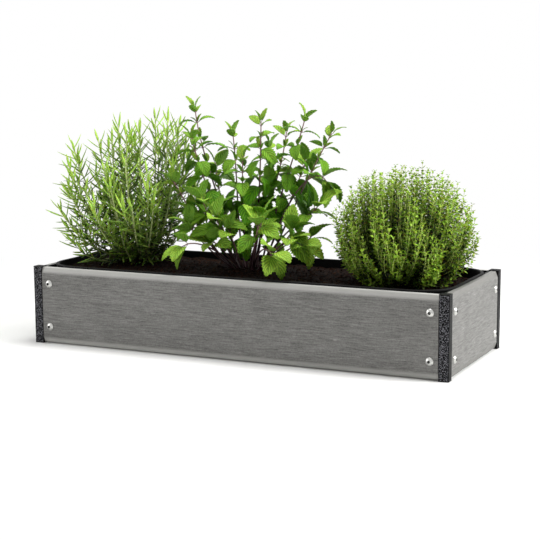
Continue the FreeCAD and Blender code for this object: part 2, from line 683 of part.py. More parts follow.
def make_soil():
    """Make the soil: it fills the tray, slopes down to the right and has a pocket for each root ball."""
    body = new_body("potting_soil")
    floor = new_sketch(body, "XY_Plane", "soil_floor", lift="soil_base")
    draw_rounded_rectangle(floor, "foot_length - 2 * soil_inset", "foot_width - 2 * soil_inset",
                           "foot_corner_radius - soil_inset")
    fill = pad(body, floor, "soil_fill", "rim_top - soil_base")
    bind(fill, "TaperAngle", "atan(liner_flare_width / liner_height)")
    waste = new_sketch(body, "XZ_Plane", "soil_waste")
    end, high = "liner_length / 2", "rim_top + overrun"
    draw_outline(waste, [("-" + end, "soil_left"), (end, "soil_right"), (end, high), ("-" + end, high)])
    pocket(body, waste, "soil_surface", both_ways=True)
    for herb in HERB_PLACE_SHARES:
        x, y, top = herb_spot(herb)
        section = new_sketch(body, "XZ_Plane", f"soil_{herb}_pocket", x=x, lift=f"-{y}")
        radius, low = f"{herb}_root_radius + soil_gap", "root_base - soil_gap"
        draw_outline(section, [("0", low), (radius + " - root_taper", low), (radius, top), (radius, high),
                               ("0", high)])
        turned(body, "Groove", section, f"soil_{herb}_hole")
    nodes.append(body)
    return body


def make_root_ball(herb):
    """Make a herb's root ball, which keeps the taper of the pot that the herb was raised in."""
    x, y, top = herb_spot(herb)
    ball = doc.addObject("Part::Cone", herb + "_root_ball")
    ball.Label = ball.Name
    bind(ball, "Radius1", f"{herb}_root_radius - root_taper")
    bind(ball, "Radius2", f"{herb}_root_radius")
    bind(ball, "Height", f"{top} - root_base")
    place(ball, x, y, "root_base")
    nodes.append(ball)
    return ball


def closed_solid(triangles):
    """Join triangles that share their corners into one closed solid."""
    faces = [Part.Face(Part.makePolygon([*corners, corners[0]])) for corners in triangles]
    shell = Part.makeShell(faces)
    shell.sewShape()
    solid = Part.makeSolid(shell)
    if solid.Volume < 0:
        solid.reverse()
    return solid


def square_to(way, toward):
    """Give the direction square to one way and nearest to another."""
    return (toward - way * toward.dot(way)).normalize()


def stem(points, radii):
    """Give a flat-sided stem along some points, with a radius for each; many of them join soundly."""
    rings = []
    for number, (point, radius) in enumerate(zip(points, radii)):
        way = (points[min(number + 1, len(points) - 1)] - points[max(number - 1, 0)]).normalize()
        across = square_to(way, Vector(0, 1, 0))
        turns = [(side + number / 2) * 2 * math.pi / STEM_SIDE_COUNT for side in range(STEM_SIDE_COUNT)]
        rings.append([point + (across * math.cos(turn) + way.cross(across) * math.sin(turn)) * radius
                      for turn in turns])
    triangles = []
    for side in range(STEM_SIDE_COUNT):
        after = (side + 1) % STEM_SIDE_COUNT
        for lower, upper in zip(rings, rings[1:]):
            triangles += [(lower[side], lower[after], upper[side]), (lower[after], upper[after], upper[side])]
        triangles.append((rings[0][after], rings[0][side], points[0]))
        triangles.append((rings[-1][side], rings[-1][after], points[-1]))
    return closed_solid(triangles)


def finish_plant(herb, shape):
    """Stand a herb's solid on its root ball."""
    plant = doc.addObject("Part::Feature", herb + "_plant")
    plant.Label = plant.Name
    plant.Shape = shape
    place(plant, *herb_spot(herb))
    nodes.append(plant)
    return plant


def make_rosemary():
    """Make the rosemary: sprigs, each a slender bent spindle, that fan out from the crown."""
    height, reach = value("rosemary_height"), value("rosemary_reach")
    crown_top = value("crown_height")
    foot, belly, tip = (value(f"rosemary_{part}_radius") for part in ("foot", "sprig", "tip"))
    crown_radius = value("rosemary_crown_radius")
    growth = []
    for right, back, up in ROSEMARY_TIP_SHARES:
        end = Vector(right * reach, back * reach, up * height)
        base = Vector(right, back, 0) * crown_radius * ROSEMARY_BASE_SHARE / math.sqrt(2)
        base.z = crown_top
        run = end - base
        middle = base + Vector(run.x * ROSEMARY_BEND_SHARE, run.y * ROSEMARY_BEND_SHARE,
                               run.z * ROSEMARY_BELLY_SHARE)
        growth.append(stem([base, middle, end], [foot, belly, tip]))
    return finish_plant("rosemary", Part.makeCylinder(crown_radius, crown_top).multiFuse(growth))


def mint_leaf(length, width, thickness):
    """Give a leaf: two arcs that meet at its base and its point, with an even thickness."""
    point = Vector(length, 0, 0)
    left = Part.Arc(Vector(), Vector(length / 2, width / 2, 0), point).toShape()
    right = Part.Arc(point, Vector(length / 2, -width / 2, 0), Vector()).toShape()
    return Part.Face(Part.Wire([left, right])).extrude(Vector(0, 0, thickness))


def make_mint():
    """Make the mint: leaning or arching stems with pairs of leaves, each pair square to the one above."""
    height, reach = value("mint_height"), value("mint_reach")
    crown_top, radius, bare = value("crown_height"), value("mint_stem_radius"), value("mint_bare_height")
    leaf = [value("mint_leaf_" + part) for part in ("length", "width", "thickness")]
    crown_radius = value("mint_crown_radius")
    upward = Vector(0, 0, 1)
    growth = []
    for right, back, up, bow, size, first_turn, most_pairs in MINT_SHOOTS:
        end = Vector(right * reach, back * reach, up * height)
        base = Vector(right, back, 0) * crown_radius * MINT_BASE_SHARE
        base.z = crown_top / 2
        knee = (base + end) / 2 + upward * bow * height
        knee_radius, tip_radius = radius * (1 + MINT_TIP_WIDTH_SHARE) / 2, radius * MINT_TIP_WIDTH_SHARE
        if bow:
            growth.append(stem([base, knee, end], [radius, knee_radius, tip_radius]))
        else:
            growth.append(stem([base, end], [radius, tip_radius]))
        upper = (end - knee).Length
        for pair, (share_back, share, rise, hang) in enumerate(MINT_PAIRS[:most_pairs]):
            way_back = share_back * height
            above = way_back < upper
            way = (end - knee if above else knee - base).normalize()
            spot = end - way * way_back if above else knee - way * (way_back - upper)
            if spot.z < bare and pair >= MINT_PAIRS_ALWAYS:
                break
            scale = min(MINT_LARGEST_SHARE, share * size)
            across = square_to(way, Vector(1, 0, 0))
            for half in range(2):
                turn = Rotation(way, first_turn + (pair + 2 * half) * RIGHT_ANGLE)
                ahead = ((turn.multVec(across) + way * rise).normalize() - upward * hang).normalize()
                face = square_to(ahead, upward)
                blade = mint_leaf(leaf[0] * scale, leaf[1] * scale ** MINT_SLIM_POWER, leaf[2])
                turned_out = Rotation(ahead, face.cross(ahead), face, "XZY")
                blade.Placement = Placement(spot - face * leaf[2] / 2, turned_out)
                growth.append(blade)
    return finish_plant("mint", Part.makeCylinder(crown_radius, crown_top).multiFuse(growth))


def make_thyme():
    """Make the thyme: a dome on a narrower foot, every other point of its skin drawn out to a sprig's tip."""
    height, radius = value("thyme_height"), value("thyme_radius")
    foot, proud, lean = value("thyme_foot_radius"), value("thyme_sprig_proud"), value("thyme_lean")
    peak, side = height - proud, radius - proud
    centre = Vector(0, 0, peak * THYME_CENTRE_SHARE)
    rings = [ring_of_points(foot, 0, 0)]
    for level, (out, up) in enumerate(THYME_OUTLINE_SHARES, start=1):
        ring = [point + Vector(up * lean, 0, 0) for point in ring_of_points(out * side, up * peak, level)]
        for index, point in enumerate(ring):
            if level % 2 and (index + level // 2) % 2:
                ring[index] = point + (point - centre).normalize() * proud
        rings.append(ring)
    triangles = []
    for level, (lower, upper) in enumerate(zip(rings, rings[1:])):
        for index in range(THYME_SECTOR_COUNT):
            after = (index + 1) % THYME_SECTOR_COUNT
            low_left, low_right = lower[index], lower[after]
            high_left, high_right = upper[index], upper[after]
            if level % 2:
                triangles += [(low_left, low_right, high_right), (low_left, high_right, high_left)]
            else:
                triangles += [(low_left, low_right, high_left), (low_right, high_right, high_left)]
    for index in range(THYME_SECTOR_COUNT):
        after = (index + 1) % THYME_SECTOR_COUNT
        triangles.append((rings[-1][index], rings[-1][after], Vector(lean, 0, height)))
        triangles.append((rings[0][after], rings[0][index], Vector()))
    return finish_plant("thyme", closed_solid(triangles))


def ring_of_points(radius, level, number):
    """Give the points of one ring of the thyme, every other ring turned by half a step."""
    step = 2 * math.pi / THYME_SECTOR_COUNT
    angles = [(index + number % 2 / 2) * step for index in range(THYME_SECTOR_COUNT)]
    return [Vector(radius * math.cos(angle), radius * math.sin(angle), level) for angle in angles]


def build():
    """Make every piece, the frame first and what it holds after it."""
    bolt, nut = make_bolt(), make_nut()
    bearer_screw = make_wood_screw("bearer_screw", "bearer_screw_length")
    slat_screw = make_wood_screw("slat_screw", "slat_screw_length")
    for side, (span, *_) in SIDES.items():
        board = make_board(side)
        ends = [(f"{end} * ({span} / 2 - bolt_inset)", height) for end, height in BOLT_SPOTS]
        group(side + "_board_bolts", bolt, [(x, None, z) for x, z in ends], OUTWARD, board)
        group(side + "_board_nuts", nut,
              [(x, "board_thickness + flange_thickness", z) for x, z in ends], INWARD, board)
        if side in ("front", "back"):
            make_bearer(side, board)
            group(side + "_bearer_screws", bearer_screw,
                  [(x, "board_thickness + bearer_size", "bearer_lift + bearer_size / 2")
                   for x in bearer_screw_spots()], INWARD, board)
    for corner in CORNERS:
        make_post(corner)
        make_cap(corner, is_foot=False)
        make_cap(corner, is_foot=True)
    for index, along in enumerate(slat_spots(), start=1):
        make_slat(index, along)
    spots = [(along, sign + "slat_screw_place", None) for along in slat_spots() for sign in ("", "-")]
    group("base_slat_screws", slat_screw, spots, Rotation(), z="slat_base + slat_thickness")
    make_liner()
    make_soil()
    for herb in HERB_PLACE_SHARES:
        make_root_ball(herb)
    make_rosemary()
    make_mint()
    make_thyme()


def check():
    """Stop if any object failed or any piece has no sound shape."""
    doc.recompute()
    for item in doc.Objects:
        if {"Invalid", "Error"} & set(item.State):
            raise RuntimeError(f"{item.Label}: {item.State}")
    for node in nodes:
        if node.Shape.isNull() or not node.Shape.isValid():
            raise RuntimeError(f"{node.Label}: shape not valid")


def export():
    """Write each piece to its own file."""
    os.makedirs("parts", exist_ok=True)
    for node in nodes:
        node.Shape.exportStep(f"parts/{node.Label}.step")
        print(node.Label, len(node.Shape.Solids), "solids")


build()
check()
export()
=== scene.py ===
"""Dress the indoor herb planter: board, post and fastener finishes, lumpy soil, and three grown herbs.

Lengths in the classes are millimetres, and a mesh is turned to metres when it becomes an object. What stands
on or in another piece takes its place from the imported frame.
"""

import logging
import math
from dataclasses import dataclass
from enum import Enum
from typing import Sequence

import bpy
import numpy as np
from mathutils import Matrix, Vector, noise


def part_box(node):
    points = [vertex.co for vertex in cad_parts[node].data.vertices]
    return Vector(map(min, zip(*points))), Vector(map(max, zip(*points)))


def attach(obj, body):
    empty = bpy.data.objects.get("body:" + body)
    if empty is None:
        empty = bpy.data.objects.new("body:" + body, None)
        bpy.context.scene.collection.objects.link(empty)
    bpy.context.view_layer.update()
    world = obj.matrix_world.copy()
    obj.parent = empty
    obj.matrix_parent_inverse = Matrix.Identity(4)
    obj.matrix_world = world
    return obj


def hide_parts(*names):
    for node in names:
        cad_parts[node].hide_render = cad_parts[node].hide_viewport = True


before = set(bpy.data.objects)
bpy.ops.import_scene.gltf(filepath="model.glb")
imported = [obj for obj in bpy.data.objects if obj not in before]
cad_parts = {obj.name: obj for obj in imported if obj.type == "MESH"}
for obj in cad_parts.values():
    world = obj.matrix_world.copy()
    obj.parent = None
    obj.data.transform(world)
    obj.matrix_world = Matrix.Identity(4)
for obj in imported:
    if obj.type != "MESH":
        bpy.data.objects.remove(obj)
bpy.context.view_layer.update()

log = logging.getLogger("herb_planter")
MM = 0.001
UP = np.array([0.0, 0.0, 1.0])
GOLDEN_ANGLE = math.pi * (3 - math.sqrt(5))
HERBS = ("rosemary", "mint", "thyme")

# The name of the mark that each point of a herb carries, and a place across a leaf, clear of its midrib
MARK = "growth_mark"
OFF_MIDRIB = 0.25

# A pair of lengths, shares or angles between which something lies
Span = tuple[float, float]


def linear(colour: str) -> tuple[float, float, float, float]:
    """Turn an sRGB hex colour to linear light, with full alpha.

    Args:
        colour: A hash and six hex digits.

    Returns:
        Red, green, blue and alpha.
    """
    shares = [int(colour[start:start + 2], 16) / 255 for start in (1, 3, 5)]
    lit = [share / 12.92 if share <= 0.04045 else ((share + 0.055) / 1.055) ** 2.4 for share in shares]
    return lit[0], lit[1], lit[2], 1.0


def feed(tree: bpy.types.NodeTree, node: bpy.types.Node, inputs: dict) -> None:
    """Set a node's inputs.

    Args:
        tree: The tree that the node is in.
        node: The node.
        inputs: For an input's name or number, a plain value, the output that feeds it, or the node whose
            first live output does.
    """
    for name, source in inputs.items():
        if isinstance(source, bpy.types.Node):
            source = next(output for output in source.outputs if output.enabled)
        if isinstance(source, bpy.types.NodeSocket):
            tree.links.new(source, node.inputs[name])
        else:
            node.inputs[name].default_value = source


def add_node(tree: bpy.types.NodeTree, kind: str, inputs: dict | None = None, **settings) -> bpy.types.Node:
    """Add a shader node with its settings and links.

    Args:
        tree: The tree that the node goes in.
        kind: The node's type without its ShaderNode prefix.
        inputs: What its inputs get, as feed takes it.
        **settings: Properties of the node itself.

    Returns:
        The new node.
    """
    made = tree.nodes.new("ShaderNode" + kind)
    for name, setting in settings.items():
        setattr(made, name, setting)
    feed(tree, made, inputs or {})
    return made


def start_material(name: str, **sockets) -> tuple[bpy.types.Material, bpy.types.NodeTree, bpy.types.Node]:
    """Start a material with one Principled shader.

    Args:
        name: The material's name.
        **sockets: Constants of the shader, with underscores for the spaces in a socket's name.

    Returns:
        The material, its tree and the shader.
    """
    material = bpy.data.materials.new(name)
    material.use_nodes = True
    tree = material.node_tree
    shader = tree.nodes["Principled BSDF"]
    feed(tree, shader, {socket.replace("_", " "): constant for socket, constant in sockets.items()})
    return material, tree, shader


class Grain(Enum):
    """The way that a board's or a slat's grain runs, with its name for the material."""

    ALONG_X = "along_length"
    ALONG_Y = "along_width"

    def scale(self, along: float, across: float) -> tuple[float, float, float]:
        """Give the scale of a pattern that is stretched along the grain.

        Args:
            along: A feature's length along the grain, in mm.
            across: Its width across the grain, in mm.

        Returns:
            The scale along X, Y and Z.
        """
        run, cross = 1 / (along * MM), 1 / (across * MM)
        return (run, cross, cross) if self is Grain.ALONG_X else (cross, run, cross)


@dataclass(frozen=True)
class BrushedComposite:
    """Wood-plastic composite, extruded and then brushed, so it shows fine matt streaks along its length.

    The band along a board's top and bottom edges, where the bevelled faces are, carries painted light: paler
    on the long boards as a painted highlight, and darker on the end boards as painted shade. The foot and the
    top are the board's own heights in mm. The real brush marks are too fine to show in a picture of the whole
    box, so the streaks and specks are drawn one to two millimetres wide.
    """

    grain: Grain
    foot: float
    top: float
    # Painted light of the bevelled edges: a highlight on the long boards, shade on the end boards
    bevel_light: str
    colour: str = "#8a8986"
    streak: str = "#484744"
    scuff: str = "#b4b3ae"
    streak_length: float = 22.0
    streak_width: float = 1.1
    streak_depth: float = 0.12
    streak_relief: float = 0.6
    speck_size: float = 2.0
    speck_share: float = 0.35
    cloud_size: float = 70.0
    cloud_share: float = 0.25
    pattern_range: Span = (0.56, 1.04)
    scuff_length: float = 16.0
    scuff_width: float = 1.6
    scuff_range: Span = (0.70, 0.82)
    bevel_rise: float = 11.0
    bevel_light_edge: Span = (-0.5, 5.0)
    bevel_light_share: float = 0.75

    def material(self) -> bpy.types.Material:
        """Make the material.

        Returns:
            The composite, with its grain along the board.
        """
        material, tree, shader = start_material("composite_" + self.grain.value, Roughness=0.55, IOR=1.5)
        place = add_node(tree, "TexCoord").outputs["Object"]
        streak_scale = self.grain.scale(self.streak_length, self.streak_width)
        streak_place = add_node(tree, "Mapping", {"Vector": place, "Scale": streak_scale})
        streaks = add_node(tree, "TexNoise", {"Vector": streak_place, "Scale": 1.0, "Detail": 5.0,
                                              "Roughness": 0.62})
        clouds = add_node(tree, "TexNoise", {"Vector": place, "Scale": 1 / (self.cloud_size * MM),
                                             "Detail": 3.0})
        specks = add_node(tree, "TexNoise", {"Vector": place, "Scale": 1 / (self.speck_size * MM),
                                             "Detail": 1.0})
        specked = add_node(tree, "Math", {0: specks, 1: self.speck_share, 2: streaks},
                           operation="MULTIPLY_ADD")
        pattern = add_node(tree, "Math", {0: clouds, 1: self.cloud_share, 2: specked},
                           operation="MULTIPLY_ADD")
        pale_share = add_node(tree, "MapRange", {"Value": pattern, "From Min": self.pattern_range[0],
                                                 "From Max": self.pattern_range[1]})
        brushed = add_node(tree, "Mix", {"Factor": pale_share, "A": linear(self.streak),
                                         "B": linear(self.colour)}, data_type="RGBA")
        scuff_scale = self.grain.scale(self.scuff_length, self.scuff_width)
        scuff_place = add_node(tree, "Mapping", {"Vector": place, "Scale": scuff_scale})
        scuffs = add_node(tree, "TexNoise", {"Vector": scuff_place, "Scale": 1.0, "Detail": 2.0})
        scuff_share = add_node(tree, "MapRange", {"Value": scuffs, "From Min": self.scuff_range[0],
                                                  "From Max": self.scuff_range[1]})
        worn = add_node(tree, "Mix", {"Factor": scuff_share, "A": brushed, "B": linear(self.scuff)},
                        data_type="RGBA")
        height = add_node(tree, "SeparateXYZ", {"Vector": place}).outputs["Z"]
        off_middle = add_node(tree, "Math", {0: height, 1: (self.foot + self.top) / 2 * MM},
                              operation="SUBTRACT")
        reach = add_node(tree, "Math", {0: off_middle}, operation="ABSOLUTE")
        # Painted light along the bevelled edges: a band near the top and the bottom blends towards its colour
        flat = (self.top - self.foot) / 2 - self.bevel_rise
        bevel_light_mask = add_node(tree, "MapRange", {"Value": reach, "From Min": (flat + self.bevel_light_edge[0]) * MM,
                                             "From Max": (flat + self.bevel_light_edge[1]) * MM,
                                             "To Max": self.bevel_light_share})
        colour = add_node(tree, "Mix", {"Factor": bevel_light_mask, "A": worn, "B": linear(self.bevel_light)},
                          data_type="RGBA")
        bump = add_node(tree, "Bump", {"Height": streaks, "Distance": self.streak_depth * MM,
                                       "Strength": self.streak_relief})
        feed(tree, shader, {"Base Color": colour, "Normal": bump})
        return material


@dataclass(frozen=True)
class TexturedPowderCoat:
    """Black powder coat baked on an aluminium extrusion, with painted highlights: grey glints speckled over
    its broad outer faces.

    The broad faces are those that look to the front and to the back, at the distance given from the middle.
    The narrow side faces keep only a small share of the glints, which is painted shade.
    The coat's real wrinkles are about half a millimetre wide, and are drawn coarser so that they show.
    """

    face: float
    colour: str = "#060607"
    painted_glint: str = "#86868c"
    wrinkle_size: float = 1.7
    wrinkle_depth: float = 0.4
    glint_spot_range: Span = (0.5, 0.62)
    face_edge: Span = (-0.8, -0.3)
    side_glint_share: float = 0.03

    def material(self) -> bpy.types.Material:
        """Make the material.

        Returns:
            The coat.
        """
        material, tree, shader = start_material("powder_coat_black", Roughness=0.42, IOR=1.5,
                                                Specular_IOR_Level=0.05)
        place = add_node(tree, "TexCoord").outputs["Object"]
        wrinkles = add_node(tree, "TexNoise", {"Vector": place, "Scale": 1 / (self.wrinkle_size * MM),
                                               "Detail": 3.0, "Roughness": 0.6})
        # Painted highlights: grey glints on the high points of the wrinkle noise
        glint_spots = add_node(tree, "MapRange", {"Value": wrinkles, "From Min": self.glint_spot_range[0],
                                            "From Max": self.glint_spot_range[1]})
        depth = add_node(tree, "SeparateXYZ", {"Vector": place}).outputs["Y"]
        off_middle = add_node(tree, "Math", {0: depth}, operation="ABSOLUTE")
        # Painted shade on the narrow side faces: they keep only a small share of the glints
        broad = add_node(tree, "MapRange", {"Value": off_middle,
                                            "From Min": (self.face + self.face_edge[0]) * MM,
                                            "From Max": (self.face + self.face_edge[1]) * MM,
                                            "To Min": self.side_glint_share})
        glint_mask = add_node(tree, "Math", {0: glint_spots, 1: broad}, operation="MULTIPLY")
        colour = add_node(tree, "Mix", {"Factor": glint_mask, "A": linear(self.colour),
                                        "B": linear(self.painted_glint)}, data_type="RGBA")
        bump = add_node(tree, "Bump", {"Height": wrinkles, "Distance": self.wrinkle_depth * MM})
        feed(tree, shader, {"Base Color": colour, "Normal": bump})
        return material


@dataclass(frozen=True)
class MouldedPolypropylene:
    """Black polypropylene from a spark-eroded mould: even, slightly waxy and finely pebbled.

    The real pebbles are a few tenths of a millimetre wide, and are drawn coarser so that they show.
    """

    name: str
    colour: str = "#0d0d0e"
    pebble_size: float = 1.1
    pebble_depth: float = 0.08
    pebble_shade: float = 0.5

    def material(self) -> bpy.types.Material:
        """Make the material.

        Returns:
            The plastic.
        """
        material, tree, shader = start_material(self.name, Roughness=0.6, IOR=1.49, Specular_IOR_Level=0.15)
        place = add_node(tree, "TexCoord").outputs["Object"]
        pebbles = add_node(tree, "TexNoise", {"Vector": place, "Scale": 1 / (self.pebble_size * MM),
                                              "Detail": 2.0})
        shaded = add_node(tree, "HueSaturation", {"Color": linear(self.colour), "Value": pebbles})
        colour = add_node(tree, "Mix", {"Factor": self.pebble_shade, "A": linear(self.colour),
                                        "B": shaded}, data_type="RGBA")
        bump = add_node(tree, "Bump", {"Height": pebbles, "Distance": self.pebble_depth * MM})
        feed(tree, shader, {"Base Color": colour, "Normal": bump})
        return material


@dataclass(frozen=True)
class TurnedSteel:
    """Cold-formed steel fasteners, stainless or zinc plated: bright metal, with near-black painted shade in
    its hollows, set by ambient occlusion.

    The real handling marks are too fine to show, so they are drawn about a millimetre wide.
    """

    name: str
    colour: str
    roughness: float
    recess_shade: str = "#0e0e0e"
    mark_size: float = 0.9
    roughness_swing: float = 0.3
    shade_range: Span = (0.8, 1.1)
    occlusion_distance: float = 4.0
    occlusion_range: Span = (0.6, 0.85)

    def material(self) -> bpy.types.Material:
        """Make the material.

        Returns:
            The metal.
        """
        material, tree, shader = start_material(self.name, Metallic=1.0)
        place = add_node(tree, "TexCoord").outputs["Object"]
        marks = add_node(tree, "TexNoise", {"Vector": place, "Scale": 1 / (self.mark_size * MM),
                                            "Detail": 3.0})
        roughness = add_node(tree, "MapRange", {"Value": marks,
                                                "To Min": self.roughness * (1 - self.roughness_swing),
                                                "To Max": self.roughness * (1 + self.roughness_swing)})
        shade = add_node(tree, "MapRange", {"Value": marks, "To Min": self.shade_range[0],
                                            "To Max": self.shade_range[1]})
        bright = add_node(tree, "HueSaturation", {"Color": linear(self.colour), "Value": shade})
        # Painted shade: near black mixed in where ambient occlusion finds a recess, such as the hex socket
        occlusion = add_node(tree, "AmbientOcclusion", {"Distance": self.occlusion_distance * MM},
                          samples=8, only_local=True)
        unshaded_share = add_node(tree, "MapRange", {"Value": occlusion.outputs["AO"], "From Min": self.occlusion_range[0],
                                            "From Max": self.occlusion_range[1]})
        colour = add_node(tree, "Mix", {"Factor": unshaded_share, "A": linear(self.recess_shade), "B": bright},
                          data_type="RGBA")
        feed(tree, shader, {"Base Color": colour, "Roughness": roughness})
        return material


@dataclass(frozen=True)
class PlanedPine:
    """Planed softwood, untreated: pale yellow-brown with darker late-wood lines along the grain.

    The real pores are about a tenth of a millimetre wide, and are drawn coarser so that they show.
    """

    grain: Grain
    early: str = "#c9a877"
    late: str = "#9a7446"
    ring_length: float = 160.0
    ring_width: float = 4.0
    ring_waver: float = 0.4
    pore_length: float = 25.0
    pore_width: float = 0.6
    pore_depth: float = 0.1
    late_range: Span = (0.75, 1.25)

    def material(self) -> bpy.types.Material:
        """Make the material.

        Returns:
            The wood, with its grain along the piece.
        """
        material, tree, shader = start_material("pine_" + self.grain.value, Roughness=0.6, IOR=1.5)
        place = add_node(tree, "TexCoord").outputs["Object"]
        ring_scale = self.grain.scale(self.ring_length, self.ring_width)
        ring_place = add_node(tree, "Mapping", {"Vector": place, "Scale": ring_scale})
        rings = add_node(tree, "TexNoise", {"Vector": ring_place, "Scale": 1.0, "Detail": 2.0,
                                            "Distortion": self.ring_waver})
        pore_scale = self.grain.scale(self.pore_length, self.pore_width)
        pore_place = add_node(tree, "Mapping", {"Vector": place, "Scale": pore_scale})
        pores = add_node(tree, "TexNoise", {"Vector": pore_place, "Scale": 1.0, "Detail": 3.0})
        both = add_node(tree, "Math", {0: rings, 1: pores}, operation="ADD")
        late_share = add_node(tree, "MapRange", {"Value": both, "From Min": self.late_range[0],
                                                 "From Max": self.late_range[1]})
        colour = add_node(tree, "Mix", {"Factor": late_share, "A": linear(self.early),
                                        "B": linear(self.late)}, data_type="RGBA")
        bump = add_node(tree, "Bump", {"Height": pores, "Distance": self.pore_depth * MM})
        feed(tree, shader, {"Base Color": colour, "Normal": bump})
        return material


@dataclass(frozen=True)
class PottingMix:
    """Damp peat and bark: nearly black, matt, with reddish-brown fibres and crumbs."""

    name: str
    damp: str = "#0c0705"
    crumb: str = "#2c180d"
    fibre: str = "#5a3821"
    crumb_size: float = 5.0
    crumb_range: Span = (0.45, 0.75)
    fibre_size: float = 1.6
    fibre_range: Span = (0.64, 0.78)
    fibre_depth: float = 0.8

    def material(self) -> bpy.types.Material:
        """Make the material.

        Returns:
            The mix.
        """
        material, tree, shader = start_material(self.name, Roughness=0.9, IOR=1.45, Specular_IOR_Level=0.1)
        place = add_node(tree, "TexCoord").outputs["Object"]
        crumbs = add_node(tree, "TexNoise", {"Vector": place, "Scale": 1 / (self.crumb_size * MM),
                                             "Detail": 4.0})
        fibres = add_node(tree, "TexNoise", {"Vector": place, "Scale": 1 / (self.fibre_size * MM),
                                             "Detail": 4.0, "Roughness": 0.7})
        crumb_share = add_node(tree, "MapRange", {"Value": crumbs, "From Min": self.crumb_range[0],
                                                  "From Max": self.crumb_range[1]})
        fibre_share = add_node(tree, "MapRange", {"Value": fibres, "From Min": self.fibre_range[0],
                                                  "From Max": self.fibre_range[1]})
        brown = add_node(tree, "Mix", {"Factor": crumb_share, "A": linear(self.damp),
                                       "B": linear(self.crumb)}, data_type="RGBA")
        colour = add_node(tree, "Mix", {"Factor": fibre_share, "A": brown, "B": linear(self.fibre)},
                          data_type="RGBA")
        bump = add_node(tree, "Bump", {"Height": fibres, "Distance": self.fibre_depth * MM})
        feed(tree, shader, {"Base Color": colour, "Normal": bump})
        return material


@dataclass(frozen=True)
class LivingLeaf:
    """A living leaf: waxy green skin, paler beneath, yellower where it is young and darker where it is older.
    Its veins have their own colour, paler on the rosemary and the thyme; on the mint they are darker, a
    painted shade in their sunken grooves. On the thyme the darkest, older end is also painted shade on the
    inner leaves deep in the dome.

    The mesh's mark holds, at each point, the share of the way to the leaf's tip, the share of the way from
    its left edge to its right edge, how young the leaf is, and whether the point is on the underside.
    """

    name: str
    old_and_shade: str
    young: str
    vein_and_groove_shade: str
    under: str
    vein_count: float = 0.0
    vein_slant: float = 0.0
    vein_depth: float = 0.15
    vein_share: float = 0.6
    vein_edge: Span = (0.02, 0.36)
    midrib_edge: Span = (0.012, 0.04)
    under_share: float = 0.7
    roughness: float = 0.5
    gloss: float = 0.15
    glow: float = 0.15
    glow_depth: float = 0.6
    mottle_size: float = 6.0
    mottle_share: float = 0.35
    mottle_shift: float = -0.17

    def material(self) -> bpy.types.Material:
        """Make the material.

        Returns:
            The leaf's skin.
        """
        material, tree, shader = start_material(
            self.name, Roughness=self.roughness, IOR=1.45, Subsurface_Weight=self.glow,
            Subsurface_Scale=self.glow_depth * MM, Specular_IOR_Level=self.gloss)
        mark = add_node(tree, "Attribute", attribute_name=MARK, attribute_type="GEOMETRY")
        shares = add_node(tree, "SeparateColor", {"Color": mark.outputs["Color"]})
        along, across, youth = shares.outputs
        place = add_node(tree, "TexCoord").outputs["Object"]
        mottle = add_node(tree, "TexNoise", {"Vector": place, "Scale": 1 / (self.mottle_size * MM),
                                             "Detail": 3.0})
        nudge = add_node(tree, "Math", {0: mottle, 1: self.mottle_share, 2: self.mottle_shift},
                         operation="MULTIPLY_ADD")
        age = add_node(tree, "Math", {0: youth, 1: nudge}, operation="ADD", use_clamp=True)
        skin = add_node(tree, "Mix", {"Factor": age, "A": linear(self.old_and_shade), "B": linear(self.young)},
                        data_type="RGBA")
        off_middle = add_node(tree, "Math", {0: across, 1: 0.5}, operation="SUBTRACT")
        reach = add_node(tree, "Math", {0: off_middle}, operation="ABSOLUTE")
        veins = add_node(tree, "MapRange", {"Value": reach, "From Min": self.midrib_edge[0],
                                            "From Max": self.midrib_edge[1], "To Min": 1.0, "To Max": 0.0})
        if self.vein_count:
            slanted = add_node(tree, "Math", {0: reach, 1: -self.vein_slant, 2: along},
                               operation="MULTIPLY_ADD")
            steps = add_node(tree, "Math", {0: slanted, 1: self.vein_count}, operation="MULTIPLY")
            wave = add_node(tree, "Math", {0: steps, 1: 0.5}, operation="PINGPONG")
            side_veins = add_node(tree, "MapRange", {"Value": wave, "From Min": self.vein_edge[0],
                                                     "From Max": self.vein_edge[1],
                                                     "To Min": 1.0, "To Max": 0.0})
            veins = add_node(tree, "Math", {0: veins, 1: side_veins}, operation="MAXIMUM")
        # Painted shade on the mint: its dark colour marks the sunken grooves of its veins; the other herbs
        # get their veins' own paler colour
        vein_share = add_node(tree, "Math", {0: veins, 1: self.vein_share}, operation="MULTIPLY")
        veined = add_node(tree, "Mix", {"Factor": vein_share, "A": skin, "B": linear(self.vein_and_groove_shade)},
                          data_type="RGBA")
        under_share = add_node(tree, "Math", {0: mark.outputs["Alpha"], 1: self.under_share},
                               operation="MULTIPLY")
        colour = add_node(tree, "Mix", {"Factor": under_share, "A": veined, "B": linear(self.under)},
                          data_type="RGBA")
        bump = add_node(tree, "Bump", {"Height": veins, "Distance": self.vein_depth * MM}, invert=True)
        feed(tree, shader, {"Base Color": colour, "Normal": bump})
        return material


